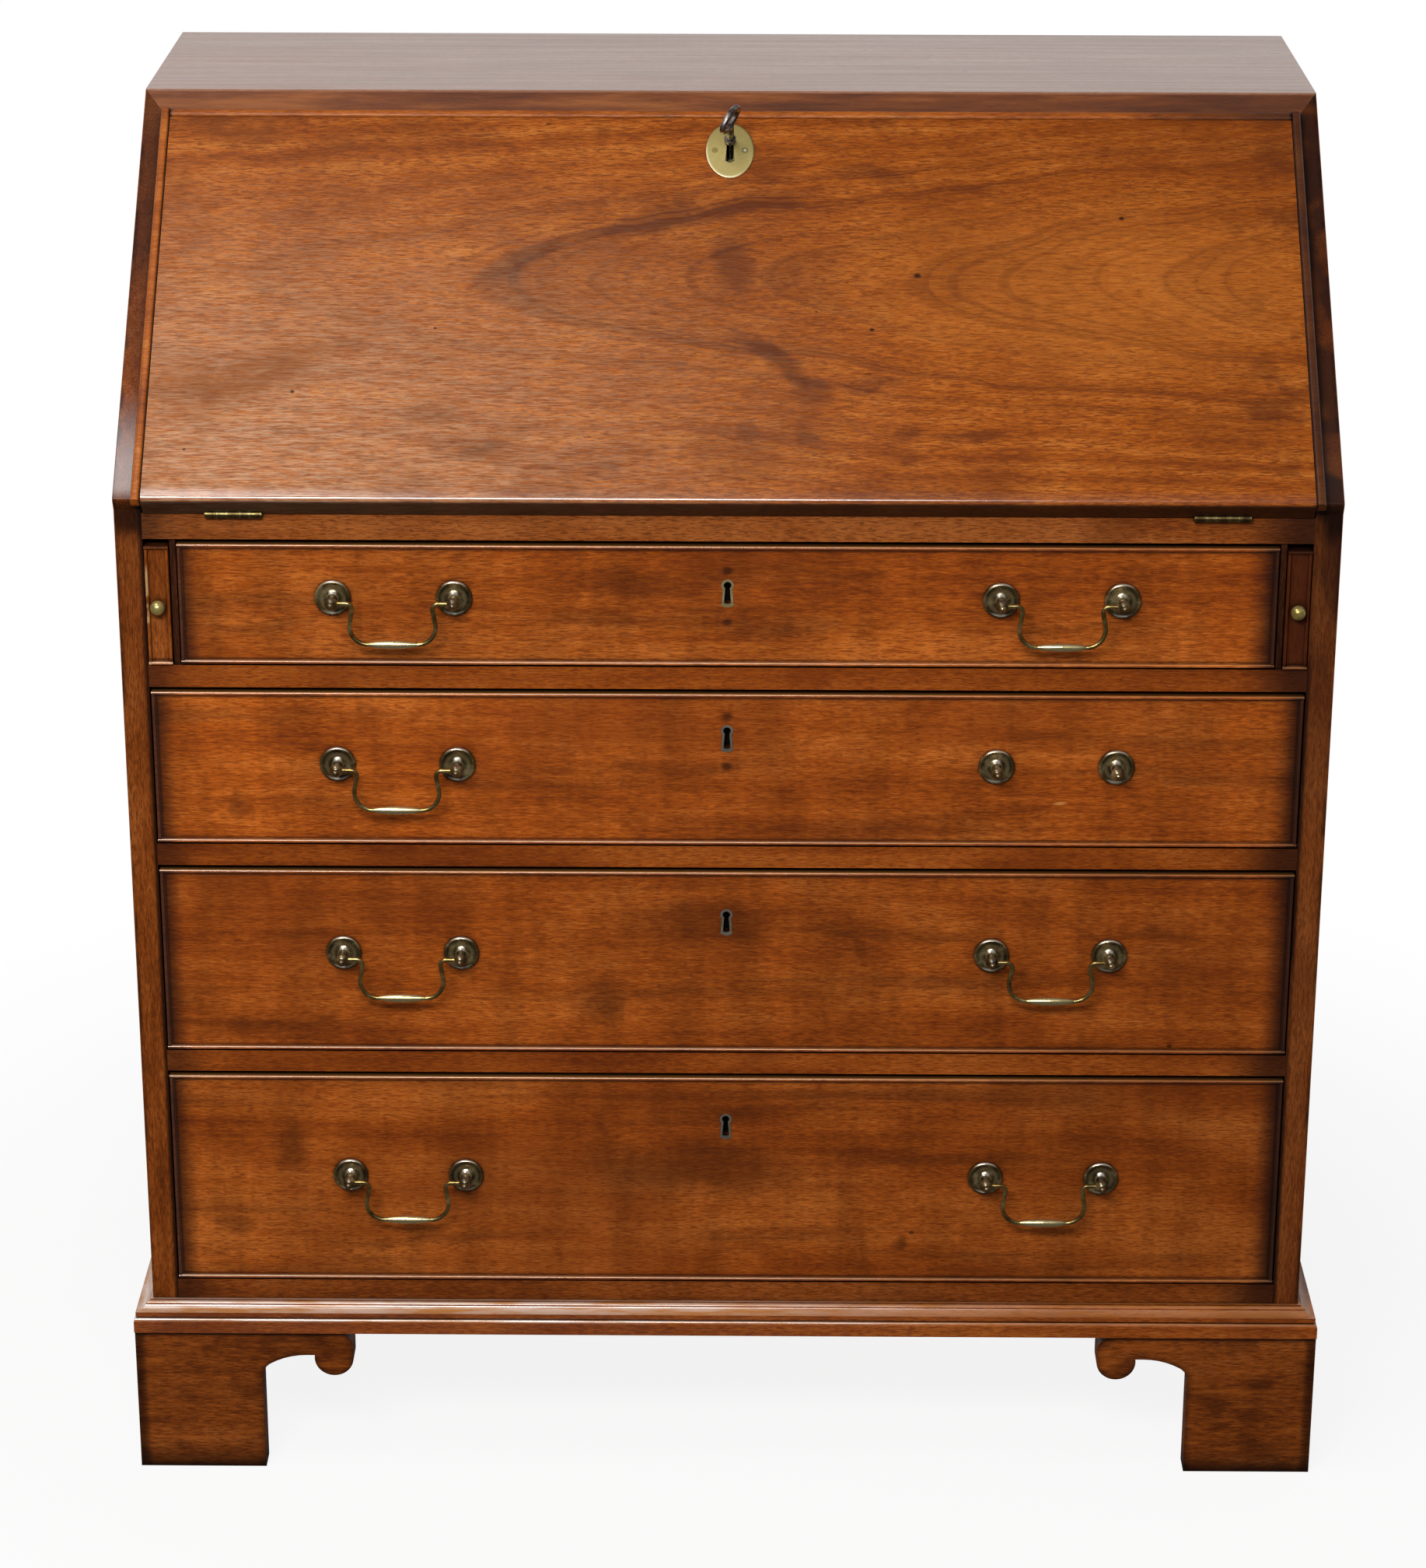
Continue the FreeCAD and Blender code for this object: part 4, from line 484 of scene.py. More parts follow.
# Dark clouds on the drawer fronts, as (centre, half size, depth, tilt) across the front.
DRAWER_CLOUDS = {
    1: (((-0.068, 0.745), (0.060, 0.022), 0.55, 0.0), ((0.030, 0.712), (0.050, 0.012), 0.60, 0.0),
        ((0.092, 0.752), (0.035, 0.008), 0.45, 0.0), ((-0.35, 0.715), (0.060, 0.008), 0.40, 0.05)),
    2: (((-0.045, 0.602), (0.090, 0.010), 0.50, 0.0), ((-0.372, 0.569), (0.014, 0.016), 0.55, 0.0),
        ((-0.30, 0.640), (0.120, 0.008), 0.35, 0.02)),
    3: (((-0.016, 0.471), (0.090, 0.028), 0.65, 0.0), ((-0.094, 0.402), (0.028, 0.026), 0.65, 0.9),
        ((0.101, 0.455), (0.008, 0.030), 0.50, 0.2), ((-0.379, 0.386), (0.024, 0.012), 0.65, 0.0),
        ((-0.316, 0.389), (0.020, 0.008), 0.50, 0.0), ((0.320, 0.465), (0.060, 0.008), 0.40, 0.0)),
    4: (((-0.022, 0.262), (0.120, 0.032), 0.65, 0.0), ((-0.341, 0.280), (0.018, 0.028), 0.60, 0.0),
        ((-0.385, 0.213), (0.026, 0.012), 0.50, 0.0), ((0.141, 0.199), (0.008, 0.008), 0.70, 0.0),
        ((-0.222, 0.200), (0.140, 0.008), 0.40, 0.05), ((-0.100, 0.285), (0.015, 0.040), 0.35, 0.0)),
}
CLOUD_BROWN = linear("4A1F06")
LONG_STREAKS = (3.2, 36.0, 36.0)
RIPPLE = (30.0, 5.0, 5.0)
RIPPLE_GAIN = (0.88, 1.20)
# Each drawer's left and right halves are made lighter or darker by these gains.
DRAWER_HALF_GAIN = {1: (0.06, 0.18), 2: (0.34, 0.14), 3: (0.14, 0.02), 4: (0.08, -0.08)}
HALVES = ((0.10, -0.20), (-0.10, 0.20))
# The width of a cock bead, and of the step to its quirk, darkened there as painted shade.
BEAD_WIDTH = 0.0030
BEAD_STEP = 0.0006
# Filled pin holes over and under the keyholes of the upper two drawers.
PINNED_DRAWERS = (1, 2)
PIN_RISE = 0.0115
PIN_DROP = 0.0292
PIN_SIZE = (0.0062, 0.0052)
# A pale scratch on the second drawer.
SCRATCHED_DRAWER = 2
SCRATCH = ((0.254, 0.572), (0.007, 0.0020), 0.6, 0.1)


def drawer_wood(number):
    """A drawer front with its own figure, beads with painted highlights and painted shade beside them, dark
    borders and an old plate's filled pin holes.
    """
    low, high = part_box(f"drawer_{number}_front")
    lock_low, lock_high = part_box(f"drawer_{number}_lock")
    shade = Shade(f"drawer_{number}_mahogany", **WAX)
    place = board_place(shade, ALONG_X, 3.1 * number)
    phase = board_phase(shade, place, slope=0.9, pitch=10.0, sway=1.4)
    colour, streaks, dash = grained(shade, place, phase, MAHOGANY)
    colour = weathered(shade, colour, place, MAHOGANY, blotch=0.45, blotch_size=(3.0, 7.0, 7.0))
    x, y, z = shade.parts(shade.coords)
    soft_x, soft_z = wandering(shade, place, x, z)
    marks = shade.times(clouds(shade, soft_x, soft_z, DRAWER_CLOUDS[number]), 0.90)
    long_streaks = shade.noise(place, LONG_STREAKS, detail=4.0, roughness=0.6)
    marks = shade.most(marks, shade.span(long_streaks, 0.50, 0.70, 0.0, 0.50))
    colour = shade.mix(marks, colour, CLOUD_BROWN)
    ripple = shade.noise(place, RIPPLE, detail=3.0, roughness=0.6, distortion=0.4)
    colour = shade.gain(colour, shade.span(ripple, 0.30, 0.70, *RIPPLE_GAIN))

    if number in PINNED_DRAWERS:
        keyhole = (lock_low.z + lock_high.z) / 2
        for height in (keyhole + PIN_RISE, keyhole - PIN_DROP):
            hole = smudge(shade, x, z, (0.0, height), PIN_SIZE, 0.72)
            colour = shade.mix(hole, colour, EDGE_WOOD["dark"])
    if number == SCRATCHED_DRAWER:
        colour = shade.mix(smudge(shade, x, z, *SCRATCH), colour, RUBBED_AND_HIGHLIGHT)
    for half, half_gain in zip(HALVES, DRAWER_HALF_GAIN[number]):
        colour = shade.gain(colour, shade.add(1.0, shade.times(shade.span(x, *half), half_gain)))
    left_end = shade.span(x, -high.x + 0.020, -high.x + 0.003, 0.0, 0.78)
    right_end = shade.span(x, high.x - 0.024, high.x - 0.003, 0.0, 0.92)
    colour = shade.mix(shade.most(left_end, right_end), colour, EDGE_WOOD["dark"])

    inset_x = shade.less(high.x, shade.size(x))
    inset = shade.math("MINIMUM", inset_x, inset_from(shade, z, low.z, high.z))
    bead = shade.span(inset, BEAD_WIDTH, BEAD_WIDTH + BEAD_STEP, 1.0, 0.0)
    # Painted shade in the quirk beside the bead.
    quirk = shade.times(shade.span(inset, BEAD_WIDTH, BEAD_WIDTH + 0.003, 0.75, 0.0), shade.without(bead))
    colour = shade.mix(quirk, colour, DIRT_AND_SHADE)
    # Painted highlight on the upper side of the beads, fading towards the right.
    crest = shade.span(shade.facing()[2], 0.10, 0.60, 0.0, 0.75)
    lit = shade.span(x, -0.20, 0.43, 1.0, 0.45)
    colour = shade.mix(shade.times(shade.times(bead, crest), lit), colour, RUBBED_AND_HIGHLIGHT)
    shade.colour(darkened(shade, colour, 0.011))
    shade.coat(shade.times(bead, lit))
    waxed(shade, streaks, dash)
    return shade.material


def bead_wood():
    """The fall's edge beads: paler wood, dark at the right, with a painted shadow line beside the panel."""
    shade = Shade("bead_mahogany", specular=0.25)
    place = board_place(shade, ALONG_X, 5.7)
    colour, streaks, dash = grained(shade, place, board_phase(shade, place), FALL_WOOD, pores=0.35)
    colour = weathered(shade, colour, place, EDGE_WOOD, blotch=0.5, blotch_size=(12.0, 12.0, 12.0))
    x, y, z = shade.parts(shade.coords)
    colour = shade.mix(shade.span(x, 0.30, 0.42, 0.0, 0.8), colour, EDGE_WOOD["dark"])
    # Painted shadow line where the bead stands proud of the panel.
    line = shade.size(shade.add(shade.size(x), -PANEL_EDGE))
    colour = shade.mix(shade.span(line, 0.0006, 0.0022, 0.85, 0.0), colour, DIRT_AND_SHADE)
    shade.colour(darkened(shade, colour, 0.006, 0.9))
    waxed(shade, streaks, dash, 0.28, 0.40)
    return shade.material


def brass(name, codes, rough, patina=0.6, rub=0.75, seed=0.0, metallic=1.0, wear=None):
    """Cast brass of three tones: brown patina in the hollows, rubbed bright on the raised edges."""
    deep, body, shine = (linear(code) for code in codes)
    low, high = rough
    shade = Shade(name, metallic=metallic)
    place = shade.shifted(shade.coords, (seed, seed, seed))
    cloud = shade.noise(place, (90.0, 90.0, 90.0), detail=4.0, roughness=0.6)
    fine = shade.noise(place, (900.0, 900.0, 900.0), detail=2.0)
    tone = shade.add(shade.times(cloud, 0.85), shade.times(fine, 0.15))
    colour = shade.ramp(tone, (0.34, 0.52, 0.70), (deep, body, shine))
    hollow = shade.span(shade.crevice(0.006), 0.35, 0.95, patina, 0.0)
    colour = shade.mix(hollow, colour, deep)
    rubbed = shade.span(shade.crevice(0.0022, inside=True), 0.25, 0.70, rub, 0.0)
    colour = shade.mix(rubbed, colour, shine)
    if wear:
        colour = wear(shade, colour)
    shade.colour(colour)
    shade.roughness(shade.span(tone, 0.35, 0.65, high, low))
    shade.bump(tone, 0.00010, 0.20)
    return shade.material


STEEL_TONES = tuple(linear(code) for code in ("2E2522", "7C7672", "BEB9B4"))
STEEL_EDGE = linear("D0CBC5")
LOCK_SHADE = linear("050403")


def steel(name):
    """Dark handled iron with brown stains, worn bright along its edges."""
    shade = Shade(name, metallic=1.0)
    cloud = shade.noise(shade.coords, (160.0, 160.0, 160.0), detail=4.0, roughness=0.6)
    colour = shade.ramp(cloud, (0.35, 0.52, 0.70), STEEL_TONES)
    worn_edge = shade.span(shade.crevice(0.0016, inside=True), 0.20, 0.65, 0.7, 0.0)
    shade.colour(shaded_in_lock(shade, shade.mix(worn_edge, colour, STEEL_EDGE)))
    shade.roughness(shade.span(cloud, 0.35, 0.65, 0.46, 0.30))
    shade.bump(cloud, 0.0001, 0.4)
    return shade.material


def shaded_in_lock(shade, colour):
    """The key's end and the bolt are painted black inside the lock, as shade."""
    depth = shade.dot(shade.shifted(shade.coords, tuple(-PLATE_MIDDLE)), tuple(OUTWARD))
    return shade.mix(shade.span(depth, 0.006, -0.001, 0.0, 0.97), colour, LOCK_SHADE)


# The dark of a side's slanted edge grows between these heights, and starts within SLOPE_START of the knee.
SLOPE_DARK = (KNEE + 0.050, KNEE + 0.230)
SLOPE_START = 0.025
# The front edge darkens from this height up to the knee.
BELOW_KNEE_START = KNEE - 0.300


def side_wear(shade, colour, low_depth=0.12, high_depth=0.66, below_knee_depth=0.32, gloss=0.8):
    """The front edges of a side darken upwards and towards the knee, with dark arrises, painted shade with
    grime at the knee and a sheen over it.
    """
    x, y, z = shade.parts(shade.coords)
    width = shade.size(x)
    above_knee = shade.span(z, KNEE, KNEE + SLOPE_START)
    slope = shade.times(above_knee, shade.span(z, *SLOPE_DARK, low_depth, high_depth))
    inner_edge = shade.span(width, INNER_HALF + 0.002, INNER_HALF + 0.009, 0.7, 0.0)
    slope = shade.most(slope, shade.times(inner_edge, above_knee))
    front_edge = shade.without(shade.span(width, OUTER_HALF - 0.0008, OUTER_HALF - 0.0002))
    front_edge = shade.times(front_edge, shade.span(y, BACK - 0.060, BACK - 0.020, 1.0, 0.0))
    colour = shade.mix(shade.times(slope, front_edge), colour, EDGE_WOOD["dark"])
    arris = shade.span(width, INNER_HALF + 0.0008, INNER_HALF + 0.0045, 0.90, 0.0)
    worn_line = shade.span(shade.noise(shade.coords, (60.0, 60.0, 25.0), detail=2.0), 0.42, 0.58, 0.15, 0.75)
    outer = shade.times(shade.span(width, OUTER_HALF - 0.0045, OUTER_HALF - 0.0006), worn_line)
    colour = shade.mix(shade.most(arris, shade.times(outer, front_edge)), colour, DIRT_AND_SHADE)
    forward = shade.times(shade.span(y, FRONT + 0.010, FRONT + 0.040, 1.0, 0.0), front_edge)
    below_knee_dark = shade.times(forward, shade.span(z, BELOW_KNEE_START, KNEE, 0.0, below_knee_depth))
    colour = shade.mix(below_knee_dark, colour, EDGE_WOOD["dark"])
    sheen = shade.times(shade.span(z, KNEE + 0.010, KNEE + 0.020), shade.span(z, KNEE + 0.080, KNEE + 0.030))
    shade.coat(shade.times(shade.times(sheen, front_edge), gloss))
    # Painted shade, with grime, on the down-facing band at the knee.
    knee = shade.span(shade.size(shade.add(z, -KNEE + 0.004)), 0.004, 0.022, 0.85, 0.0)
    return shade.mix(shade.times(knee, forward), colour, DIRT_AND_SHADE)


def right_side_wear(shade, colour):
    """The right side is made darker than the left, with a few lighter patches."""
    colour = shade.mix(0.40, colour, EDGE_WOOD["mid"])
    rubbed = shade.span(shade.noise(shade.coords, (30.0, 30.0, 9.0), detail=2.0), 0.48, 0.62)
    dark = side_wear(shade, colour, low_depth=0.85, high_depth=0.92, below_knee_depth=0.80, gloss=0.2)
    return shade.mix(shade.times(rubbed, 0.45), dark, colour)


TOP_EDGE_TONES = tuple(linear(code) for code in ("4E2410", "6E3817", "935427"))


def top_wear(shade, colour):
    """The slanted front edge of the top is dark and patchy, and its flat has a light polish."""
    x, y, z = shade.parts(shade.coords)
    shade.coat(shade.span(shade.facing()[2], 0.90, 0.98, 0.0, 0.40))
    strip = shade.span(z, TOP_LEVEL - 0.0005, TOP_LEVEL - 0.0020)
    patch = shade.noise(shade.coords, (7.0, 60.0, 60.0), detail=4.0, roughness=0.65)
    edge_tone = shade.ramp(patch, (0.36, 0.52, 0.66), TOP_EDGE_TONES)
    return shade.mix(shade.times(strip, 0.90), colour, edge_tone)


def rail_wear(shade, colour):
    """The ends of a rail are dark where hands and dusters don't reach."""
    x, y, z = shade.parts(shade.coords)
    left = shade.span(x, -INNER_HALF + 0.040, -INNER_HALF + 0.004, 0.0, 0.65)
    right = shade.span(x, INNER_HALF - 0.060, INNER_HALF - 0.008, 0.0, 0.85)
    return shade.mix(shade.most(left, right), colour, EDGE_WOOD["dark"])


MOULDING_GLINT = linear("EBCBB4")


def moulding_highlight(shade, colour):
    """A moulding is glossy, and its upper side has a painted highlight, most at the left."""
    broken = shade.noise(shade.coords, (16.0, 16.0, 300.0), detail=3.0, roughness=0.6)
    lit = shade.span(shade.parts(shade.coords)[0], -0.15, 0.32, 1.0, 0.25)
    polished = shade.times(lit, shade.span(shade.facing()[1], 0.50, 0.90, 1.0, 0.0))
    shade.coat(shade.times(shade.span(broken, 0.30, 0.62, 0.45, 1.0), polished))
    glint = shade.mix(shade.times(shade.span(broken, 0.36, 0.60), lit), RUBBED_AND_HIGHLIGHT, MOULDING_GLINT)
    crest = shade.times(shade.span(shade.facing()[2], 0.20, 0.70), shade.add(0.22, shade.times(lit, 0.55)))
    return shade.mix(crest, colour, glint)


FOOT_ORANGE = linear("B4601E")
FOOT_STAIN = linear("3C1604")


def foot_wear(shade, colour):
    """Feet are scuffed dark along the floor and their edges, with orange streaks and a dark line at the top."""
    x, y, z = shade.parts(shade.coords)
    streak = shade.noise(shade.coords, (22.0, 22.0, 160.0), detail=4.0, roughness=0.6)
    colour = shade.mix(shade.span(streak, 0.52, 0.70, 0.0, 0.40), colour, FOOT_ORANGE)
    stain = shade.noise(shade.coords, (30.0, 30.0, 45.0), detail=3.0)
    colour = shade.mix(shade.span(stain, 0.50, 0.70, 0.0, 0.55), colour, FOOT_STAIN)
    edge = shade.span(shade.crevice(0.007, inside=True), 0.55, 0.85, 0.75, 0.0)
    colour = shade.mix(edge, colour, DIRT_AND_SHADE)
    scuff = shade.span(z, 0.0, 0.024, 0.80, 0.0)
    joint = shade.span(z, FOOT_TOP - 0.0040, FOOT_TOP - 0.0008, 0.0, 0.85)
    return shade.mix(shade.most(scuff, joint), colour, DIRT_AND_SHADE)


def end_beads(shade, colour, node, gloss):
    """The bead across the top and bottom of a support's face has a painted highlight on its upper side, with
    painted shade beside it.
    """
    low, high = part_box(node)
    x, y, z = shade.parts(shade.coords)
    inset = inset_from(shade, z, low.z, high.z)
    bead = shade.span(inset, BEAD_WIDTH, BEAD_WIDTH + BEAD_STEP, 1.0, 0.0)
    # Painted shade in the quirk beside the bead.
    quirk = shade.span(inset, BEAD_WIDTH, BEAD_WIDTH + 0.004, 0.85, 0.0)
    colour = shade.mix(shade.times(quirk, shade.without(bead)), colour, DIRT_AND_SHADE)
    # Painted highlight on the bead's upper side.
    crest = shade.times(bead, shade.span(shade.facing()[2], -0.20, 0.40, 0.0, gloss))
    shade.coat(shade.times(bead, gloss))
    return shade.mix(crest, colour, RUBBED_AND_HIGHLIGHT)


RED_BROWN = linear("3C160A")


def right_loper_wear(shade, colour):
    """The right support has gone a dark red brown."""
    return end_beads(shade, shade.mix(0.86, colour, RED_BROWN), "loper_right", 0.35)


def left_loper_wear(shade, colour):
    """The left support has lost a sliver of its left edge, which shows raw wood."""
    colour = end_beads(shade, colour, "loper_left", 0.95)
    x, y, z = shade.parts(shade.coords)
    low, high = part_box("loper_left")
    sliver = shade.times(shade.span(x, low.x + 0.0016, low.x + 0.0026, 0.85, 0.0),
                         shade.span(shade.noise(shade.coords, (40.0, 40.0, 60.0), detail=2.0), 0.42, 0.52))
    sliver = shade.times(sliver, shade.span(y, low.y + 0.004, low.y + 0.010, 1.0, 0.0))
    sliver = shade.times(sliver, shade.span(z, high.z - 0.016, high.z - 0.026))
    return shade.mix(sliver, colour, RAW_WOOD)


KEYHOLE_SHADE = linear("070503")
HANDLED_BRASS = linear("E3D29C")
ROSE_HIGHLIGHT = linear("DCD3C4")
# The direction in which the painted highlight on a rose's rim faces.
ROSE_CREST = (0.0, -0.45, 0.89)


def dark_inside(shade, colour):
    """A keyhole is painted black behind its face, as shade."""
    x, y, z = shade.parts(shade.coords)
    return shade.mix(shade.span(y, FRONT + 0.0003, FRONT + 0.0020), colour, KEYHOLE_SHADE)


def handled(shade, colour):
    """The swelling of a bail is rubbed bright by hands."""
    x, y, z = shade.parts(shade.coords)
    away = shade.size(shade.add(shade.size(x), -BAIL_MIDDLE))
    return shade.mix(shade.span(away, 0.012, 0.022, 0.80, 0.0), colour, HANDLED_BRASS)


def rose_highlight(shade, colour):
    """The upper rim of each rose has a painted highlight in a pale crescent."""
    x, y, z = shade.parts(shade.coords)
    upward = shade.span(shade.dot(shade.normal, ROSE_CREST), 0.74, 0.92, 0.0, 0.80)
    rim = shade.span(y, FRONT - 0.0048, FRONT - 0.0036, 0.12, 1.0)
    return shade.mix(shade.times(upward, rim), colour, ROSE_HIGHLIGHT)


PLATE_SHADE = linear("7C6A35")
PLATE_GLINT = linear("F6E7B8")
PLATE_RIM_SHADE = linear("6A5524")
# The plate's two pins, as (side, depth of the dark ring, colour of the head), and how far out they are.
PLATE_PINS = ((-1, 0.40, linear("A8934E")), (1, 0.55, linear("F2E8C4")))
PLATE_PIN = 0.0116


def plate_wear(shade, colour):
    """The oval plate has painted shade towards its top, a painted highlight on its rim below and to the left,
    painted shade on the rest of its rim, and two pins that hold it.
    """
    local = shade.shifted(shade.coords, tuple(-PLATE_MIDDLE))
    across = shade.times(shade.dot(local, tuple(ACROSS)), 1 / PLATE_HALF_WIDTH)
    up = shade.times(shade.dot(local, tuple(UPHILL)), 1 / PLATE_HALF_HEIGHT)
    rim = shade.span(shade.length(across, up), 0.88, 0.96)
    light_side = shade.add(shade.times(up, -0.8), shade.times(across, -0.5))
    colour = shade.mix(shade.span(up, -0.4, 0.9, 0.0, 0.45), colour, PLATE_SHADE)
    colour = shade.mix(shade.times(rim, shade.span(light_side, 0.1, 0.7)), colour, PLATE_GLINT)
    colour = shade.mix(shade.times(rim, shade.span(light_side, 0.0, -0.8, 0.0, 0.5)), colour, PLATE_RIM_SHADE)
    for side, ring, head in PLATE_PINS:
        pin = PLATE_MIDDLE + ACROSS * side * PLATE_PIN
        away = shade.node("ShaderNodeVectorMath", {0: shade.coords, 1: tuple(pin)}, operation="DISTANCE")
        away = away.outputs["Value"]
        colour = shade.mix(shade.span(away, 0.0022, 0.0030, ring, 0.0), colour, DIRT_AND_SHADE)
        colour = shade.mix(shade.span(away, 0.0012, 0.0019, 1.0, 0.0), colour, head)
    return colour


def dress(material, *nodes):
    """Give each of the nodes one material."""
    for node in nodes:
        slots = NODES[node].data.materials
        slots.clear()
        slots.append(material)


inner = board("inner_mahogany", INNER_WOOD, seed=2.2, rough=(0.42, 0.55))
inner_upright = board("inner_upright_mahogany", INNER_WOOD, turn=ALONG_Z, seed=4.6, rough=(0.42, 0.55))
oak_crosswise = bare("oak_crosswise", OAK_WOOD, turn=ALONG_Y, seed=3.3)
pine_lengthwise = bare("pine_lengthwise", PINE_WOOD, seed=7.1, pitch=30.0)
pine_upright = bare("pine_upright", PINE_WOOD, turn=ALONG_Z, seed=8.3, pitch=30.0)
aged = brass("aged_brass", ("261B10", "63512E", "C4AE80"), (0.22, 0.36), rub=0.7, metallic=0.72, wear=rose_highlight)
grip = brass("grip_brass", ("46371C", "967F48", "DDC98E"), (0.22, 0.34), patina=0.45, seed=1.7, metallic=0.92,
             wear=handled)
worn = brass("worn_brass", ("6A5936", "94835A", "BFB084"), (0.36, 0.48), patina=0.3, metallic=0.5,
             wear=dark_inside)
dulled = brass("dulled_brass", ("4A4035", "6C6255", "978D7E"), (0.36, 0.48), patina=0.3, seed=2.6, metallic=0.5,
               wear=dark_inside)
bright = brass("bright_brass", ("A08A45", "CDBB74", "E9DCA2"), (0.20, 0.32), patina=0.35, metallic=0.70)
satin = brass("satin_brass", ("A08A46", "C0AA60", "E0CD8C"), (0.44, 0.54), patina=0.30, wear=plate_wear)
hinge_bright = brass("hinge_brass", ("2E2418", "6C5D39", "B09E6B"), (0.30, 0.42), patina=0.8)
hinge_dull = brass("dull_hinge_brass", ("241B10", "574829", "94814F"), (0.32, 0.46), patina=0.9)

dress(board("side_left_mahogany", CARCASS_WOOD, turn=ALONG_Z, seed=0.4, wear=side_wear), "side_left")
dress(board("side_right_mahogany", CARCASS_WOOD, turn=ALONG_Z, seed=2.9, wear=right_side_wear), "side_right")
dress(board("top_mahogany", TOP_WOOD, seed=6.2, blotch=0.3, wear=top_wear, rough=(0.30, 0.40), specular=0.3),
      "top_board")
dress(board("rail_mahogany", CARCASS_WOOD, seed=1.3, wear=rail_wear), "bed_rail", "bottom_board")
dress(board("drawer_rail_mahogany", MAHOGANY, seed=2.4, wear=rail_wear, reach=0.006), "drawer_rails")
dress(board("moulding_mahogany", MAHOGANY, seed=4.4, rough=(0.26, 0.38), reach=0.006, wear=moulding_highlight),
      "base_moulding")
dress(board("foot_mahogany", CARCASS_WOOD, seed=7.7, wear=foot_wear), "foot_front_faces")
dress(board("foot_side_mahogany", CARCASS_WOOD, turn=ALONG_Y, seed=5.1, wear=foot_wear), "foot_side_faces")
dress(board("loper_left_mahogany", CARCASS_WOOD, turn=ALONG_Z, seed=6.6, wear=left_loper_wear, reach=0.006),
      "loper_left")
dress(board("loper_right_mahogany", CARCASS_WOOD, turn=ALONG_Z, seed=8.8, wear=right_loper_wear, reach=0.006),
      "loper_right")
dress(board("partition_mahogany", EDGE_WOOD, turn=ALONG_Z, seed=9.2), "loper_partitions")
dress(fall_wood(), "fall_panel")
dress(bead_wood(), "fall_beads")
for number in range(1, 5):
    dress(drawer_wood(number), f"drawer_{number}_front")
    dress(oak_crosswise, f"drawer_{number}_box")
    dress(aged, f"drawer_{number}_handle_posts")
    dress(worn if number == 1 else dulled, f"drawer_{number}_lock")
    dress(inner, f"small_drawer_{number}")
dress(grip, "drawer_1_bail_left", "drawer_1_bail_right", "drawer_2_bail_left", "drawer_3_bail_left",
      "drawer_3_bail_right", "drawer_4_bail_left", "drawer_4_bail_right")
dress(inner, "writing_bed", "pigeonhole_shelf", "pigeonhole_valances")
dress(inner_upright, "pigeonhole_dividers")
dress(oak_crosswise, "drawer_runners", "dust_boards")
dress(pine_upright, "back_boards")
dress(pine_lengthwise, "base_back_rail", "foot_back_faces", "foot_blocks", "lock_keep")
dress(hinge_dull, "hinge_bed_leaves")
dress(hinge_bright, "hinge_fall_leaves")
dress(bright, "loper_knob_left", "loper_knob_right", "fall_lock_case")
dress(satin, "fall_key_plate")
dress(steel("dark_steel"), "fall_bolt", "key")


# Level of the world's light, and of the dark room that gloss shows in front of the object and above it.
AMBIENT = 0.12
DARK_STUDIO = 0.09
CEILING = 0.30
WHITE = (1.0, 1.0, 1.0, 1.0)
# The floor's half width, its tones, its bounce light, and its white away from the object's shadow.
FLOOR_HALF = 9.0
PAPER_TONES = (linear("F2F1EF"), linear("FAFAF9"))
FLOOR_BOUNCE = linear("A9A6A2")
FLOOR_WHITE = (0.45, 1.2, 0.88, 1.0)


def seen_rays(shade):
    """1 for rays that show the surround itself: from the camera, and in gloss or glass."""
    path = shade.node("ShaderNodeLightPath").outputs
    mirrored = shade.most(path["Is Glossy Ray"], path["Is Transmission Ray"])
    return path["Is Camera Ray"], mirrored


def studio_floor():
    """A pale paper floor that keeps the shadow and fades into a white surround."""
    mesh = bpy.data.meshes.new("floor")
    work = bmesh.new()
    bmesh.ops.create_grid(work, x_segments=24, y_segments=24, size=FLOOR_HALF)
    work.to_mesh(mesh)
    work.free()
    floor = bpy.data.objects.new("floor", mesh)
    bpy.context.scene.collection.objects.link(floor)
    shade = Shade("floor_paper", roughness=0.9, specular=0.1)
    speck = shade.noise(shade.coords, (300.0, 300.0, 300.0), detail=2.0)
    paper = shade.ramp(speck, (0.3, 0.7), PAPER_TONES)
    camera_ray, mirrored = seen_rays(shade)
    seen = shade.most(camera_ray, mirrored)
    shade.colour(shade.mix(seen, FLOOR_BOUNCE, paper))
    distance = shade.node("ShaderNodeVectorMath", {0: shade.coords}, operation="LENGTH").outputs["Value"]
    far = shade.most(shade.span(distance, *FLOOR_WHITE), mirrored)
    in_front = shade.span(shade.parts(shade.coords)[1], -0.1, 0.7, DARK_STUDIO, 1.0)
    glow = shade.node("ShaderNodeEmission", {"Color": WHITE, "Strength": shade.most(camera_ray, in_front)})
    blend = shade.node("ShaderNodeMixShader", {
        0: shade.times(seen, far), 1: shade.shader.outputs[0], 2: glow.outputs[0]})
    shade.feed(shade.tree.nodes["Material Output"].inputs["Surface"], blend.outputs[0])
    mesh.materials.append(shade.material)


class Surround(Shade):
    """The world's shader, built with the same node helpers."""

    def __init__(self, name):
        world = bpy.data.worlds.new(name)
        world.use_nodes = True
        bpy.context.scene.world = world
        self.tree = world.node_tree
        self.coords = self.node("ShaderNodeTexCoord").outputs["Generated"]


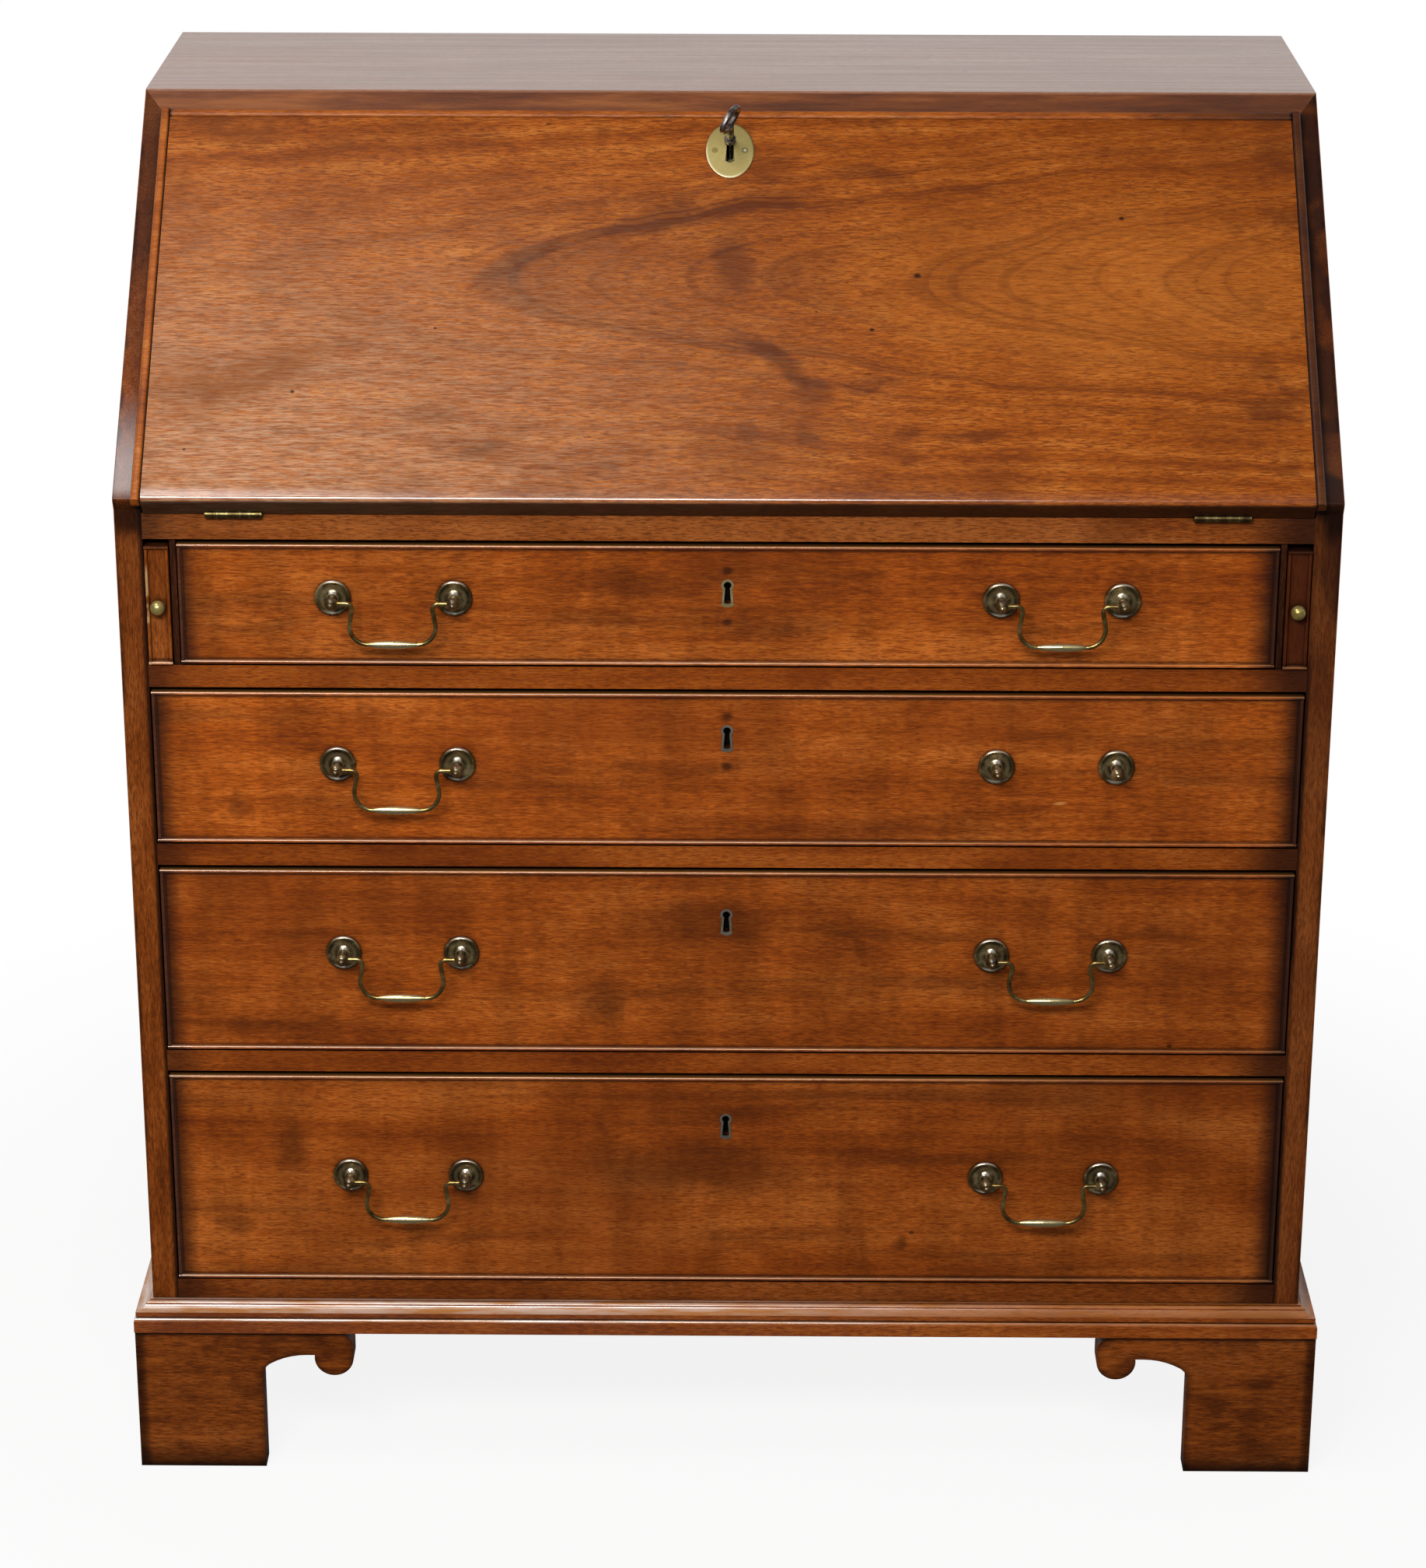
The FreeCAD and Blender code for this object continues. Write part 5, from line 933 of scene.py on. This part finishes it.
def studio_world():
    """White behind the object, and a dark room overhead and in front, lit only by the lamps."""
    shade = Surround("studio")
    x, y, z = shade.parts(shade.coords)
    behind = shade.times(shade.span(y, 0.05, 0.35), shade.span(z, 0.75, 0.45))
    camera_ray, mirrored = seen_rays(shade)
    room = shade.most(behind, shade.span(z, 0.2, 0.9, DARK_STUDIO, CEILING))
    strength = shade.add(AMBIENT, shade.times(mirrored, shade.add(room, -AMBIENT)))
    strength = shade.add(strength, shade.times(camera_ray, 1.0 - AMBIENT))
    back = shade.tree.nodes["Background"]
    back.inputs["Color"].default_value = WHITE
    shade.feed(back.inputs["Strength"], strength)


def lamp(name, place, aim, width, height, power):
    """A soft box that faces a point."""
    light = bpy.data.lights.new(name, "AREA")
    light.shape = "RECTANGLE"
    light.size = width
    light.size_y = height
    light.energy = power
    lit = bpy.data.objects.new(name, light)
    lit.location = place
    lit.rotation_mode = "QUATERNION"
    lit.rotation_quaternion = (Vector(aim) - Vector(place)).to_track_quat("-Z", "Y")
    bpy.context.scene.collection.objects.link(lit)


studio_floor()
studio_world()
lamp("strip_box", place=(-0.55, -2.5, 2.4), aim=(0.0, -0.25, 0.65), width=1.7, height=0.60, power=68.0)
lamp("over_box", place=(-0.9, -0.9, 2.9), aim=(-0.1, -0.2, 0.9), width=1.0, height=0.8, power=13.0)

# The camera, fitted to the photograph of 1834 by 2016: its lens in pixels, its turns in degrees and its place.
LONG_SIDE = 2016
LENS_PIXELS = 5443
SENSOR = 36.0
PITCH, YAW, ROLL = (math.radians(a) for a in (20.958, -0.401, 0.124))
CAMERA_PLACE = Vector((0.0105, -3.2478, 1.7389))


def photograph():
    """The camera where the photograph was taken."""
    ahead = Vector((math.sin(YAW) * math.cos(PITCH), math.cos(YAW) * math.cos(PITCH), -math.sin(PITCH)))
    right = Vector((math.cos(YAW), -math.sin(YAW), 0.0))
    up = right.cross(ahead)
    right_rolled = right * math.cos(ROLL) + up * math.sin(ROLL)
    up_rolled = up * math.cos(ROLL) - right * math.sin(ROLL)
    data = bpy.data.cameras.new("photograph")
    data.lens = LENS_PIXELS / LONG_SIDE * SENSOR
    data.sensor_width = SENSOR
    camera = bpy.data.objects.new("photograph", data)
    turn = Matrix((right_rolled, up_rolled, -ahead)).transposed().to_4x4()
    camera.matrix_world = Matrix.Translation(CAMERA_PLACE) @ turn
    bpy.context.scene.collection.objects.link(camera)
    bpy.context.scene.camera = camera


photograph()
bpy.context.scene.view_settings.view_transform = "Standard"
